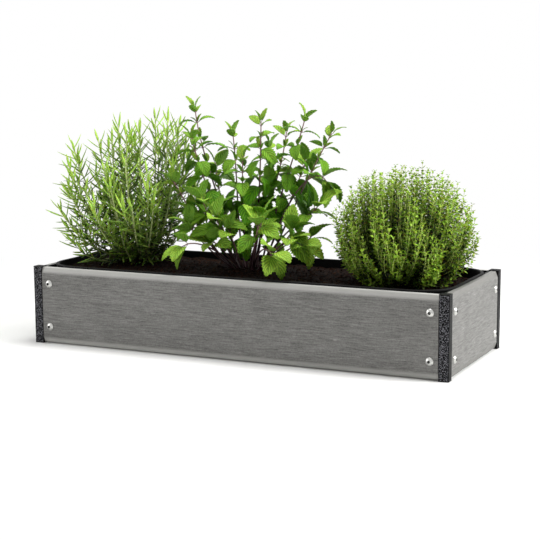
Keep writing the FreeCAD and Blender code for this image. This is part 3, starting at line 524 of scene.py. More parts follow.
@dataclass(frozen=True)
class LivingStem:
    """A herb's stem: smooth young skin at the tip that turns to the foot's colour further down."""

    name: str
    foot: str
    tip: str
    turn: Span = (0.1, 0.9)
    ridge_size: float = 1.5
    ridge_depth: float = 0.2
    ridge_share: float = 0.5

    def material(self) -> bpy.types.Material:
        """Make the material.

        Returns:
            The stem's skin.
        """
        material, tree, shader = start_material(self.name, Roughness=0.5, IOR=1.45)
        mark = add_node(tree, "Attribute", attribute_name=MARK, attribute_type="GEOMETRY")
        along = add_node(tree, "SeparateColor", {"Color": mark.outputs["Color"]}).outputs[0]
        place = add_node(tree, "TexCoord").outputs["Object"]
        ridges = add_node(tree, "TexNoise", {"Vector": place, "Scale": 1 / (self.ridge_size * MM),
                                             "Detail": 3.0})
        turned = add_node(tree, "MapRange", {"Value": along, "From Min": self.turn[0],
                                             "From Max": self.turn[1]})
        nudge = add_node(tree, "Math", {0: ridges, 1: self.ridge_share, 2: -self.ridge_share / 2},
                         operation="MULTIPLY_ADD")
        share = add_node(tree, "Math", {0: turned, 1: nudge}, operation="ADD", use_clamp=True)
        colour = add_node(tree, "Mix", {"Factor": share, "A": linear(self.foot), "B": linear(self.tip)},
                          data_type="RGBA")
        bump = add_node(tree, "Bump", {"Height": ridges, "Distance": self.ridge_depth * MM})
        feed(tree, shader, {"Base Color": colour, "Normal": bump})
        return material


@dataclass
class Form:
    """A mesh in the making: points in mm, faces of three or four corners, and a mark on each point.

    A triangle's fourth corner is -1.
    """

    points: np.ndarray
    faces: np.ndarray
    marks: np.ndarray

    def copies(self, turns: np.ndarray, places: np.ndarray, marks: np.ndarray) -> "Form":
        """Repeat the form.

        Args:
            turns: One 3 by 3 matrix for each copy, with its size in it.
            places: One point for each copy.
            marks: One mark for each copy, added to the form's own.

        Returns:
            All the copies as one form.
        """
        count, size = len(places), len(self.points)
        points = np.einsum("kij,nj->kni", turns, self.points) + places[:, None, :]
        offsets = np.arange(count)[:, None, None] * size
        faces = np.where(self.faces[None] < 0, -1, self.faces[None] + offsets)
        every_mark = self.marks[None] + marks[:, None, :]
        return Form(points.reshape(-1, 3), faces.reshape(-1, 4), every_mark.reshape(-1, 4))

    def to_object(self, name: str, material: bpy.types.Material, smooth: bool = True) -> bpy.types.Object:
        """Make a Blender object of the form, in metres.

        Args:
            name: The object's name.
            material: Its material.
            smooth: Whether its faces are shaded smooth.

        Returns:
            The object, linked to the scene.
        """
        mesh = bpy.data.meshes.new(name)
        mesh.vertices.add(len(self.points))
        mesh.vertices.foreach_set("co", (self.points * MM).astype(np.float32).ravel())
        real = self.faces >= 0
        sizes = real.sum(1)
        mesh.loops.add(int(sizes.sum()))
        mesh.loops.foreach_set("vertex_index", self.faces[real].astype(np.int32))
        mesh.polygons.add(len(self.faces))
        starts = np.concatenate([[0], np.cumsum(sizes)[:-1]])
        mesh.polygons.foreach_set("loop_start", starts.astype(np.int32))
        mesh.update(calc_edges=True)
        mark = mesh.attributes.new(MARK, "FLOAT_COLOR", "POINT")
        mark.data.foreach_set("color", self.marks.astype(np.float32).ravel())
        mesh.polygons.foreach_set("use_smooth", np.full(len(self.faces), smooth))
        mesh.materials.append(material)
        piece = bpy.data.objects.new(name, mesh)
        bpy.context.scene.collection.objects.link(piece)
        return piece


def join(forms: Sequence[Form]) -> Form:
    """Join forms into one.

    Args:
        forms: The forms, at least one.

    Returns:
        One form with all their points and faces.
    """
    offsets = np.cumsum([0] + [len(form.points) for form in forms[:-1]])
    faces = [np.where(form.faces < 0, -1, form.faces + offset) for form, offset in zip(forms, offsets)]
    return Form(np.concatenate([form.points for form in forms]), np.concatenate(faces),
                np.concatenate([form.marks for form in forms]))


def bend(controls: Sequence[np.ndarray], count: int) -> np.ndarray:
    """Give points along a cubic curve.

    Args:
        controls: The curve's four control points.
        count: How many points to give.

    Returns:
        The points, evenly spaced in the curve's own parameter.
    """
    share = np.linspace(0, 1, count)[:, None]
    rest = 1 - share
    first, second, third, last = controls
    return (rest ** 3 * first + 3 * rest ** 2 * share * second + 3 * rest * share ** 2 * third
            + share ** 3 * last)


def unit(vectors: np.ndarray) -> np.ndarray:
    """Scale vectors to a length of one."""
    return vectors / np.maximum(np.linalg.norm(vectors, axis=-1, keepdims=True), 1e-9)


def side_of(directions: np.ndarray, toward: np.ndarray) -> np.ndarray:
    """Give unit vectors square to the directions and nearest to the way that they are asked to face."""
    flat = toward - directions * np.sum(toward * directions, axis=-1, keepdims=True)
    return unit(flat)


def leaning(ways: np.ndarray, out: np.ndarray, lean: np.ndarray) -> np.ndarray:
    """Give directions that lean by an angle in radians from the stem's way towards the way out of it."""
    return unit(ways * np.cos(lean)[:, None] + out * np.sin(lean)[:, None])


def around(ways: np.ndarray, headings: np.ndarray) -> np.ndarray:
    """Give the ways out of a stem at some headings round it.

    Args:
        ways: The stem's direction at each place.
        headings: The heading at each place, in radians.

    Returns:
        Unit vectors square to the stem.
    """
    level = side_of(ways, np.tile([1.0, 0.1, 0.0], (len(ways), 1)))
    return level * np.cos(headings)[:, None] + np.cross(ways, level) * np.sin(headings)[:, None]


def facing(directions: np.ndarray, faces: np.ndarray) -> np.ndarray:
    """Give turns that lay a form's X along the directions and its Z along the faces."""
    return np.stack([directions, np.cross(faces, directions), faces], axis=-1)


def jitter(random: np.random.Generator, swing: float, count: int | None = None) -> float | np.ndarray:
    """Draw numbers evenly between minus the swing and the swing, or a single one without a count."""
    return random.uniform(-swing, swing, count)


def graded(lengths: float | np.ndarray, table: Sequence[Span]) -> float | np.ndarray:
    """Read a table at a length, or at several.

    Args:
        lengths: The length or lengths, in mm.
        table: Pairs of a length and what holds there, with straight lines between them.

    Returns:
        What holds at each length.
    """
    knots, readings = zip(*table)
    return np.interp(lengths, knots, readings)


def top_middle(box: tuple[Vector, Vector]) -> np.ndarray:
    """Give the middle of a box's top.

    Args:
        box: Its low and high corners, in metres.

    Returns:
        The place, in mm.
    """
    low, high = box
    return np.array([(low.x + high.x) / 2, (low.y + high.y) / 2, high.z]) / MM


def border(rows: int, columns: int) -> np.ndarray:
    """Number the points round the edge of a grid of points.

    Args:
        rows: How many rows of faces the grid has.
        columns: How many faces each row has.

    Returns:
        The edge's points in order, from the first corner along the first row.
    """
    wide = columns + 1
    return np.array([*range(wide), *(row * wide + columns for row in range(1, rows + 1)),
                     *(rows * wide + column for column in range(columns - 1, -1, -1)),
                     *(row * wide for row in range(rows - 1, 0, -1))])


def tube(path: np.ndarray, radii: np.ndarray, sides: int, flat: float = 1.0) -> Form:
    """Make a closed tube along a path, pointed at both ends.

    Args:
        path: The points that the tube follows.
        radii: Its radius at each point.
        sides: How many sides it has.
        flat: Its thickness as a share of its width.

    Returns:
        The tube, whose mark runs from 0 at its start to 1 at its end.
    """
    ways = unit(np.gradient(path, axis=0))
    mean = unit(ways.mean(axis=0))
    other = np.eye(3)[int(np.argmin(np.abs(mean)))]
    wide = side_of(ways, other[None])
    thick = np.cross(ways, wide)
    angles = (np.arange(sides) * 2 * math.pi / sides)[None, :, None]
    ring = np.cos(angles) * wide[:, None] + flat * np.sin(angles) * thick[:, None]
    body = path[:, None] + ring * radii[:, None, None]
    count = len(path)
    points = np.concatenate([body.reshape(-1, 3), path[:1], path[-1:]])
    here = np.arange(sides)
    after = (here + 1) % sides
    faces = []
    for level in range(count - 1):
        low, high = level * sides, (level + 1) * sides
        faces.append(np.stack([low + here, low + after, high + after, high + here], axis=1))
    none = np.full(sides, -1)
    last = (count - 1) * sides
    faces.append(np.stack([after, here, np.full(sides, count * sides), none], axis=1))
    faces.append(np.stack([last + here, last + after, np.full(sides, count * sides + 1), none], axis=1))
    marks = np.zeros((len(points), 4))
    marks[:, 0] = np.concatenate([np.repeat(np.linspace(0, 1, count), sides), [0.0, 1.0]])
    marks[:, 1] = OFF_MIDRIB
    return Form(points, np.concatenate(faces), marks)


def run_lengths(path: np.ndarray) -> np.ndarray:
    """Give the way along a path to each of its points."""
    return np.concatenate([[0.0], np.cumsum(np.linalg.norm(np.diff(path, axis=0), axis=1))])


def points_along(path: np.ndarray, steps: np.ndarray, reach: float = 2.0) -> tuple[np.ndarray, np.ndarray]:
    """Give places along a path.

    Args:
        path: The path's points.
        steps: How far along it each place is, in mm from its start.
        reach: How far ahead and behind a place its direction is taken from, in mm.

    Returns:
        The places, and the path's direction at each.
    """
    lengths = run_lengths(path)
    spots, ahead, behind = (
        np.stack([np.interp(steps + shift, lengths, path[:, axis]) for axis in range(3)], axis=-1)
        for shift in (0, reach, -reach))
    return spots, unit(ahead - behind)


def place_piece(piece: bpy.types.Object, body: str, slot: str, *replaced: str) -> None:
    """Fasten a new piece to its body and let it stand for CAD nodes, which are hidden.

    Args:
        piece: The piece.
        body: The body that it rides on.
        slot: The name of a material slot; not used.
        *replaced: The CAD nodes that it stands for.
    """
    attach(piece, body)
    if replaced:
        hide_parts(*replaced)
    log.info("%s: %d faces, rides on %s", piece.name, len(piece.data.polygons), body)


@dataclass
class PlanterBox:
    """The box as it is bolted together: CAD pieces that keep their shapes and get their finishes here."""

    long_sides: tuple[str, ...] = ("front", "back")
    ends: tuple[str, ...] = ("left", "right")
    # Painted light of the bevelled edges: a painted highlight on the long boards, painted shade on the end
    # boards
    long_bevel_highlight: str = "#bcbbb7"
    end_bevel_shade: str = "#757470"
    corners: tuple[str, ...] = ("front_left", "front_right", "back_right", "back_left")
    slat_count: int = 5

    def dress(self) -> None:
        """Give every CAD node of the box and the liner its finish."""
        low, high = (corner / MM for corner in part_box("front_board"))
        # Each grain's painted light for its bevelled edges
        bevel_lights = {Grain.ALONG_X: self.long_bevel_highlight, Grain.ALONG_Y: self.end_bevel_shade}
        boards = {grain: BrushedComposite(grain, low.z, high.z, bevel_lights[grain]).material() for grain in Grain}
        stainless = TurnedSteel("stainless_bolt", "#c4c4c0", 0.28).material()
        nut = TurnedSteel("stainless_nut", "#c9c9c4", 0.35).material()
        for side in self.long_sides + self.ends:
            grain = Grain.ALONG_X if side in self.long_sides else Grain.ALONG_Y
            self.finish(side + "_board", boards[grain])
            self.finish(side + "_board_bolts", stainless)
            self.finish(side + "_board_nuts", nut)
        coat = TexturedPowderCoat(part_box("back_left_post")[1].y / MM).material()
        plastic = MouldedPolypropylene("post_cap_plastic").material()
        for corner in self.corners:
            self.finish(corner + "_post", coat)
            self.finish(corner + "_post_cap", plastic)
            self.finish(corner + "_post_foot", plastic)
        zinc = TurnedSteel("zinc_plated_screw", "#c9c3a0", 0.4).material()
        bearer_pine, slat_pine = PlanedPine(Grain.ALONG_X).material(), PlanedPine(Grain.ALONG_Y).material()
        for side in self.long_sides:
            self.finish(side + "_bearer", bearer_pine)
            self.finish(side + "_bearer_screws", zinc)
        for index in range(1, self.slat_count + 1):
            self.finish(f"base_slat_{index}", slat_pine)
        self.finish("base_slat_screws", zinc)
        self.finish("liner_tray", MouldedPolypropylene("liner_plastic", colour="#050505").material())
        root_mix = PottingMix("root_ball_mix", crumb="#5a3a25").material()
        for herb in HERBS:
            self.finish(herb + "_root_ball", root_mix)

    def finish(self, name: str, material: bpy.types.Material) -> None:
        """Put a material on a CAD node.

        Args:
            name: The node.
            material: Its one material.
        """
        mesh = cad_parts[name].data
        mesh.materials.clear()
        mesh.materials.append(material)
        log.info("%s: %s", name, material.name)


@dataclass(frozen=True)
class Relief:
    """One size of unevenness in the soil: its lumps' width, their height, and its own layer of noise."""

    size: float
    height: float
    layer: int

    def rise(self, x: float, y: float) -> float:
        """Give its height at a place."""
        return noise.noise(Vector((x / self.size, y / self.size, self.layer))) * self.height


@dataclass
class SoilBed:
    """The potting soil: a lumpy bed that slopes as its CAD solid does, with loose crumbs and bark on it."""

    step: float = 4.0
    corner_radius: float = 56.0
    drop_left: float = 10.0
    drop_right: float = 18.0
    wall_flare: float = 2.0
    settling: float = 1.0
    reliefs: tuple[Relief, ...] = (Relief(26.0, 3.2, 0), Relief(7.0, 2.6, 4), Relief(2.6, 1.2, 9))
    mound: float = 3.0
    mound_reach: float = 1.5
    mound_slope: float = 2.0
    crumb_count: int = 5200
    crumb_margin: float = 4.0
    crumb_least: float = 0.7
    crumb_spread: float = 2.1
    crumb_ring: tuple[float, float] = (0.9, 0.45)
    crumb_squash: Span = (0.6, 1.2)
    bark_count: int = 420
    bark_margin: float = 9.0
    bark_lift: float = 0.5
    bark_length: Span = (5.0, 13.0)
    bark_widths: tuple[float, ...] = (0.06, 0.12, 0.11, 0.04)
    bark_bow: float = 0.04
    bark_flat: float = 0.4
    bark_tilt: float = 0.18
    seed: int = 11

    def __post_init__(self) -> None:
        """Take the bed's place from its CAD solid and the tray."""
        low, high = (np.array(corner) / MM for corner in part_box("potting_soil"))
        self.low, self.high = low, high
        self.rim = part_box("liner_tray")[1].z / MM
        self.roots = [(np.array(near + far)[:2] / 2 / MM, (far.x - near.x) / 2 / MM)
                      for near, far in (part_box(herb + "_root_ball") for herb in HERBS)]

    def level(self, x: float, y: float) -> float:
        """Give the soil's height at a place, lumps and all.

        Args:
            x: The place along the bed, in mm.
            y: The place across it, in mm.

        Returns:
            The height above the floor, in mm.
        """
        share = (x - self.low[0]) / (self.high[0] - self.low[0])
        height = self.rim - self.drop_left + (self.drop_left - self.drop_right) * share
        for relief in self.reliefs:
            height += relief.rise(x, y)
        raised = 0.0
        for centre, radius in self.roots:
            away = math.hypot(x - centre[0], y - centre[1]) / radius
            raised = max(raised, self.mound * min(1.0, max(0.0, self.mound_reach - away) * self.mound_slope))
        return height + raised - self.settling

    def half_length(self, y: float) -> float:
        """Give half the bed's length at a place across it, where the corners are round.

        Args:
            y: The place across the bed, in mm.

        Returns:
            Half the length there, in mm.
        """
        half_x, half_y = self.high[0], self.high[1]
        past = abs(y) - (half_y - self.corner_radius)
        if past <= 0:
            return half_x
        return half_x - self.corner_radius + math.sqrt(max(0.0, self.corner_radius ** 2 - past ** 2))

    def build(self) -> None:
        """Make the bed, its crumbs and its bark."""
        random = np.random.default_rng(self.seed)
        mix = PottingMix("potting_mix").material()
        place_piece(self.bed().to_object("soil_bed", mix), "liner", "potting_soil", "potting_soil")
        crumb_mix = PottingMix("soil_crumb_mix", damp="#120a06", crumb="#42261a").material()
        crumbs = self.crumbs(random).to_object("soil_crumbs", crumb_mix, smooth=False)
        place_piece(crumbs, "liner", "potting_soil")
        bark_mix = PottingMix("bark_chip", damp="#2a170c", crumb="#4f2f1a", fibre="#7a5231").material()
        place_piece(self.bark(random).to_object("soil_bark", bark_mix), "liner", "potting_soil")

    def bed(self) -> Form:
        """Make the closed bed: a lumpy top, walls that follow the tray and a flat bottom.

        Returns:
            The bed.
        """
        rows, columns = (round(2 * half / self.step) for half in (self.high[1], self.high[0]))
        top = []
        for row in range(rows + 1):
            y = -self.high[1] + 2 * self.high[1] * row / rows
            reach = self.half_length(y)
            for column in range(columns + 1):
                x = reach * (2 * column / columns - 1)
                top.append((x, y, self.level(x, y)))
        points = np.array(top)
        edge = border(rows, columns)
        flare = (self.high[:2] - self.wall_flare) / self.high[:2]
        foot = points[edge] * np.array([*flare, 0.0]) + np.array([0, 0, self.low[2]])
        centre = np.array([[0, 0, self.low[2]]])
        across = columns + 1
        corner = (np.arange(rows)[:, None] * across + np.arange(columns)[None]).ravel()
        count = len(edge)
        below = len(points) + np.arange(count)
        after = np.roll(np.arange(count), -1)
        middle, none = np.full(count, len(points) + count), np.full(count, -1)
        faces = [np.stack([corner, corner + 1, corner + across + 1, corner + across], axis=1),
                 np.stack([edge, below, below[after], edge[after]], axis=1),
                 np.stack([below, middle, below[after], none], axis=1)]
        every = np.concatenate([points, foot, centre])
        return Form(every, np.concatenate(faces), np.zeros((len(every), 4)))

    def spots(self, random: np.random.Generator, count: int, margin: float) -> np.ndarray:
        """Give places spread over the bed, a margin inside its edge.

        Args:
            random: The source of chance.
            count: How many places.
            margin: How far inside the edge they stay.

        Returns:
            Points on the soil.
        """
        half_y = self.high[1] - margin
        places = []
        for y, share in zip(jitter(random, half_y, count), jitter(random, 1.0, count)):
            x = share * (self.half_length(y) - margin)
            places.append((x, y, self.level(x, y)))
        return np.array(places)

    def crumbs(self, random: np.random.Generator) -> Form:
        """Make the loose crumbs, small uneven lumps half sunk in the bed.

        Args:
            random: The source of chance.

        Returns:
            The crumbs as one form.
        """
        sides = 5
        wide, high = self.crumb_ring
        turns = np.arange(sides) * 2 * math.pi / sides
        ring = [(wide * math.cos(turn), wide * math.sin(turn)) for turn in turns]
        lump = np.array([(0, 0, 1.0), *((x, y, high) for x, y in ring), *((x, -y, -high) for x, y in ring),
                         (0, 0, -1.0)])
        bottom = len(lump) - 1
        lower = [1 + sides + (-index) % sides for index in range(sides)]
        faces = []
        for index in range(sides):
            after = (index + 1) % sides
            faces.append((0, 1 + index, 1 + after, -1))
            faces.append((1 + index, lower[index], 1 + after, -1))
            faces.append((1 + after, lower[index], lower[after], -1))
            faces.append((lower[after], lower[index], bottom, -1))
        form = Form(lump, np.array(faces), np.zeros((len(lump), 4)))
        places = self.spots(random, self.crumb_count, self.crumb_margin)
        tumbles = self.tumbled(random, self.crumb_count)
        sizes = self.crumb_least + self.crumb_spread * random.random(self.crumb_count) ** 3
        squash = random.uniform(*self.crumb_squash, (self.crumb_count, 1, 3))
        return form.copies(tumbles * squash * sizes[:, None, None], places, np.zeros((self.crumb_count, 4)))

    def bark(self, random: np.random.Generator) -> Form:
        """Make the bark chips and fibres, thin slivers that lie on the bed.

        Args:
            random: The source of chance.

        Returns:
            The bark as one form.
        """
        lengths = random.uniform(*self.bark_length, self.bark_count)
        path = np.linspace([-0.5, 0, 0], [0.5, 0, self.bark_bow], len(self.bark_widths))
        form = tube(path, np.array(self.bark_widths), 5, flat=self.bark_flat)
        places = self.spots(random, self.bark_count, self.bark_margin) + UP * self.bark_lift
        headings = random.uniform(0, 2 * math.pi, self.bark_count)
        tips = random.normal(0, self.bark_tilt, self.bark_count)
        level = np.cos(tips)
        ways = np.stack([np.cos(headings) * level, np.sin(headings) * level, np.sin(tips)], axis=1)
        turns = facing(ways, side_of(ways, np.tile(UP, (self.bark_count, 1)))) * lengths[:, None, None]
        return form.copies(turns, places, np.zeros((self.bark_count, 4)))

    @staticmethod
    def tumbled(random: np.random.Generator, count: int) -> np.ndarray:
        """Give turns in every direction.

        Args:
            random: The source of chance.
            count: How many turns.

        Returns:
            One 3 by 3 matrix for each.
        """
        first = unit(random.normal(size=(count, 3)))
        second = side_of(first, random.normal(size=(count, 3)))
        return np.stack([first, second, np.cross(first, second)], axis=-1)


@dataclass(frozen=True)
class Shoot:
    """One mint stem.

    It holds the tip's place from the middle of the root ball's top, the heading of its first leaves in
    degrees, how far it bows up, its leaves' length as a share of the usual, and its greatest number of pairs.
    """

    tip: tuple[float, float, float]
    turn: float
    bow: float = 0.0
    leaf_share: float = 1.0
    pairs: int = 10


@dataclass(frozen=True)
class LeafPair:
    """A pair of mint leaves: how far behind the tip, how long, how steep, how far it hangs, and how young."""

    back: float
    length: float
    rise: float
    hang: float
    youth: float


@dataclass
class Mint:
    """The mint: purple-brown stems with crossed pairs of toothed, quilted leaves."""

    shoots: tuple[Shoot, ...] = (
        Shoot((-103, -11, 294), 20), Shoot((48, -42, 273), 70), Shoot((125, -21, 279), 10),
        Shoot((163, 10, 251), 45), Shoot((70, 19, 251), 80), Shoot((-40, 19, 248), 5),
        Shoot((-95, -42, 245), 50), Shoot((15, -51, 210), 30), Shoot((-118, -70, 163), 75, 0, 1.2, 4),
        Shoot((160, -10, 170), 75, 60, 2.3, 3), Shoot((152, -30, 122), 80, 19, 2.0, 3),
        Shoot((-55, -146, 57), 0, 25, 2.1, 2), Shoot((122, -158, 53), 20, 31, 2.0, 2),
        Shoot((152, -97, 63), 60, 25, 1.9, 2), Shoot((-53, -80, 132), 35, 0, 1.5, 4),
        Shoot((70, -89, 97), 85, 0, 1.8, 3), Shoot((129, -86, 85), 30, 0, 1.8, 3),
        Shoot((-91, 46, 188), 65, 0, 1.3, 5), Shoot((19, 55, 226), 25, 0, 1.1, 6),
        Shoot((95, 48, 195), 55, 0, 1.4, 5), Shoot((-19, -91, 104), 12, 0, 1.6, 3),
        Shoot((-87, -61, 104), 48, 0, 1.5, 3), Shoot((40, 10, 150), 70, 0, 1.6, 4),
        Shoot((-72, -92, 84), 10, 0, 1.6, 2), Shoot((81, -122, 96), 65, 0, 2.0, 3),
        Shoot((136, -102, 70), 40, 10, 1.7, 2), Shoot((-24, -92, 58), 80, 12, 1.6, 2),
        Shoot((3, -82, 78), 20, 0, 1.7, 2), Shoot((153, -60, 70), 15, 12, 1.6, 2),
    )
    pairs: tuple[LeafPair, ...] = (
        LeafPair(1, 26, 2.0, 0.1, 1.0), LeafPair(8, 29, 0.8, 0.15, 0.85),
        LeafPair(28, 32, 0.5, 0.4, 0.5), LeafPair(53, 38, 0.35, 0.65, 0.35),
        LeafPair(75, 42, 0.3, 0.85, 0.25), LeafPair(100, 45, 0.3, 1.0, 0.15),
        LeafPair(126, 45, 0.3, 1.0, 0.1), LeafPair(154, 42, 0.3, 1.0, 0.15),
        LeafPair(179, 38, 0.3, 1.0, 0.15), LeafPair(206, 34, 0.3, 0.9, 0.2),
    )
    base_share: float = 0.21
    sink: float = 4.0
    low_share: float = 0.3
    low_wander: float = 12.0
    high_share: float = 0.72
    high_wander: float = 9.0
    bow_share: float = 1.3
    sag: float = 5.0
    sway: float = 6.0
    path_points: int = 26
    bare_height: float = 30.0
    stem_radius: float = 1.9
    tip_radius: float = 1.0
    back_swing: Span = (0.9, 1.1)
    heading_swing: float = 12.0
    length_swing: Span = (0.88, 1.1)
    first_axil: int = 2
    last_axil: int = 5
    axil_leaf: float = 15.0
    axil_swing: Span = (0.8, 1.5)
    longest_leaf: float = 47.0
    rise_swing: float = 0.15
    hang_swing: Span = (0.55, 1.25)
    face_lean: float = 0.4
    roll_swing: float = 0.5
    droop_swing: Span = (0.25, 0.7)
    droop_hang: float = 0.4
    fold_swing: Span = (0.12, 0.32)
    youth_swing: float = 0.15
    petiole: float = 7.0
    petiole_leaf: float = 40.0
    petiole_radii: tuple[float, ...] = (0.8, 0.6, 0.5)
    petiole_overlap: float = 1.5
    leaf_ends: Span = (0.01, 0.992)
    leaf_arch: float = 0.25
    leaf_thickness: float = 0.45
    slim_share: float = 0.46
    slim_length: float = 18.0
    broad_share: float = 0.60
    broad_length: float = 46.0
    swell_powers: Span = (0.65, 0.9)
    swell_peak: float = 0.348
    tooth_share: float = 0.1
    tooth_lead: float = 0.45
    tooth_power: int = 6
    quilt_share: float = 0.034
    quilt_fade: float = 0.5
    groove_share: float = 0.010
    rows: int = 18
    columns: int = 6
    small_grid: tuple[int, int] = (8, 4)
    vein_count: float = 6.0
    vein_slant: float = 0.45
    seed: int = 5

    def __post_init__(self) -> None:
        """Take the mint's place from its root ball."""
        self.foot = top_middle(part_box("mint_root_ball"))

    def build(self) -> None:
        """Grow the stems and the leaves."""
        random = np.random.default_rng(self.seed)
        stems, leaves = [], []
        for shoot in self.shoots:
            path = self.stem_path(shoot, random)
            radii = np.linspace(self.stem_radius, self.tip_radius, len(path))
            stems.append(tube(path, radii, 6))
            self.clothe(path, shoot, random, stems, leaves)
        stalk = LivingStem("mint_stem", foot="#3f232b", tip="#8f6a66", turn=(0.2, 0.9)).material()
        place_piece(join(stems).to_object("mint_stems", stalk), "liner", "mint_leaf", "mint_plant")
        # Painted shade: the mint's dark green on its veins stands for shade in their grooves
        skin = LivingLeaf("mint_leaf_skin", old_and_shade="#62a216", young="#a2c846", vein_and_groove_shade="#1f4a0a", under="#6f9c3c",
                          vein_count=self.vein_count, vein_slant=2 * self.vein_slant,
                          vein_depth=0.7).material()
        place_piece(join(leaves).to_object("mint_leaves", skin), "liner", "mint_leaf")

    def stem_path(self, shoot: Shoot, random: np.random.Generator) -> np.ndarray:
        """Give a stem's path from the crown to its tip.

        Args:
            shoot: The stem's own sizes.
            random: The source of chance.

        Returns:
            The path's points.
        """
        tip = np.array(shoot.tip, float)
        base = self.foot + tip * np.array([self.base_share, self.base_share, 0]) - UP * self.sink
        end = self.foot + tip
        run = end - base
        bow = shoot.bow * self.bow_share
        outward = unit(np.array([tip[0], tip[1], 0.0]))
        first = base + run * self.low_share + UP * bow + jitter(random, self.low_wander, 3)
        second = (base + run * self.high_share + UP * (bow - self.sag) + outward * self.sway
                  + jitter(random, self.high_wander, 3))
        return bend([base, first, second, end], self.path_points)

    def clothe(self, path: np.ndarray, shoot: Shoot, random: np.random.Generator, stems: list[Form],
               leaves: list[Form]) -> None:
        """Set pairs of leaves along a stem, each pair square to the one above it.

        Args:
            path: The stem's points.
            shoot: The stem's own sizes.
            random: The source of chance.
            stems: Takes the leaf stalks.
            leaves: Takes the leaves.
        """
        total = run_lengths(path)[-1]
        for number, pair in enumerate(self.pairs[:shoot.pairs]):
            step = np.array([max(total - pair.back * random.uniform(*self.back_swing), 0.0)])
            spot, way = (both[0] for both in points_along(path, step))
            if spot[2] < self.foot[2] + self.bare_height and number > 1:
                break
            length = min(self.longest_leaf, pair.length * shoot.leaf_share)
            heading = math.radians(shoot.turn + 90 * number + jitter(random, self.heading_swing))
            level = side_of(way, np.array([1.0, 0.0, 0.0]))
            other = np.cross(way, level)
            for half in (0, math.pi):
                outward = level * math.cos(heading + half) + other * math.sin(heading + half)
                own_length = length * random.uniform(*self.length_swing)
                self.hang_leaf(spot, way, outward, own_length, pair, random, stems, leaves)
                if self.first_axil <= number <= self.last_axil:
                    young = self.axil_leaf * random.uniform(*self.axil_swing)
                    self.hang_leaf(spot, way, outward, young, self.pairs[0], random, stems, leaves)

    def hang_leaf(self, spot: np.ndarray, way: np.ndarray, outward: np.ndarray, length: float, pair: LeafPair,
                  random: np.random.Generator, stems: list[Form], leaves: list[Form]) -> None:
        """Add one leaf on its stalk.

        Args:
            spot: The place on the stem.
            way: The stem's direction there.
            outward: The way that the leaf leaves the stem.
            length: The leaf's length.
            pair: The pair's lean and age.
            random: The source of chance.
            stems: Takes the leaf's stalk.
            leaves: Takes the leaf.
        """
        out = unit(outward + way * (pair.rise + jitter(random, self.rise_swing)))
        stalk = self.petiole * min(1.0, length / self.petiole_leaf)
        base = spot + out * stalk
        drop = unit(out - UP * pair.hang * random.uniform(*self.hang_swing))
        face = side_of(drop, UP + way * self.face_lean)
        roll = jitter(random, self.roll_swing)
        face = face * math.cos(roll) + np.cross(face, drop) * math.sin(roll)
        leaf = self.leaf(length, droop=random.uniform(*self.droop_swing) + self.droop_hang * pair.hang,
                         fold=random.uniform(*self.fold_swing),
                         youth=pair.youth + jitter(random, self.youth_swing))
        leaves.append(leaf.copies(facing(drop, face)[None], base[None], np.zeros((1, 4))))
        stalk_path = np.stack([spot, spot + out * stalk * 0.5, base + drop * self.petiole_overlap])
        stems.append(tube(stalk_path, np.array(self.petiole_radii), 4))

    def leaf(self, length: float, droop: float, fold: float, youth: float) -> Form:
        """Make one closed leaf that lies along X and faces +Z.

        Args:
            length: Its length.
            droop: How far it turns down on the way to its tip, in radians.
            fold: How far its halves rise from the midrib.
            youth: The mark's third number.

        Returns:
            The leaf.
        """
        rows, columns = (self.rows, self.columns) if length > self.pairs[1].length else self.small_grid
        along = np.linspace(*self.leaf_ends, rows + 1)
        across = np.linspace(-1, 1, columns + 1)
        off_midrib = np.abs(across)[None, :]
        turn = self.leaf_arch - (droop + self.leaf_arch) * along
        step = length / rows
        middle_x = np.concatenate([[0], np.cumsum(np.cos(turn[:-1]) * step)])
        middle_z = np.concatenate([[0], np.cumsum(np.sin(turn[:-1]) * step)])
        swell = along ** self.swell_powers[0] * (1 - along) ** self.swell_powers[1] / self.swell_peak
        share = graded(length, ((self.slim_length, self.slim_share), (self.broad_length, self.broad_share)))
        half = length * share / 2 * swell
        tooth = np.where(np.arange(rows + 1) % 2 == 1, 1.0, -1.0)
        edge = off_midrib ** self.tooth_power
        reach = half[:, None] * across[None, :] * (1 + self.tooth_share * tooth[:, None] * edge)
        ahead = step * self.tooth_lead * (tooth[:, None] > 0) * edge
        veins = np.sin(math.pi * self.vein_count * (along[:, None] - self.vein_slant * off_midrib))
        quilt = (length * self.quilt_share * np.abs(veins) * (1 - self.quilt_fade * off_midrib)
                 * np.minimum(1, swell)[:, None])
        groove = -length * self.groove_share * (across[None, :] == 0)
        rise = fold * np.abs(reach) + quilt + groove
        normal_x, normal_z = -np.sin(turn), np.cos(turn)
        top_x = middle_x[:, None] + ahead * np.cos(turn)[:, None] + rise * normal_x[:, None]
        top_z = middle_z[:, None] + ahead * np.sin(turn)[:, None] + rise * normal_z[:, None]
        top = np.stack([top_x, reach, top_z], axis=-1)
        thin = np.stack([normal_x, np.zeros_like(normal_x), normal_z], axis=-1)[:, None] * self.leaf_thickness
        wide = columns + 1
        size = (rows + 1) * wide
        corner = (np.arange(rows)[:, None] * wide + np.arange(columns)[None]).ravel()
        upper = np.stack([corner, corner + wide, corner + wide + 1, corner + 1], axis=1)
        lower = upper[:, [0, 3, 2, 1]] + size
        here = border(rows, columns)
        after = np.roll(here, -1)
        rim = np.stack([here, after, after + size, here + size], axis=1)
        marks = np.stack([np.repeat(along, wide), np.tile((across + 1) / 2, rows + 1), np.full(size, youth),
                          np.zeros(size)], axis=1)
        under = marks.copy()
        under[:, 3] = 1.0
        points = np.concatenate([top.reshape(-1, 3), (top - thin).reshape(-1, 3)])
        return Form(points, np.concatenate([upper, lower, rim]), np.concatenate([marks, under]))


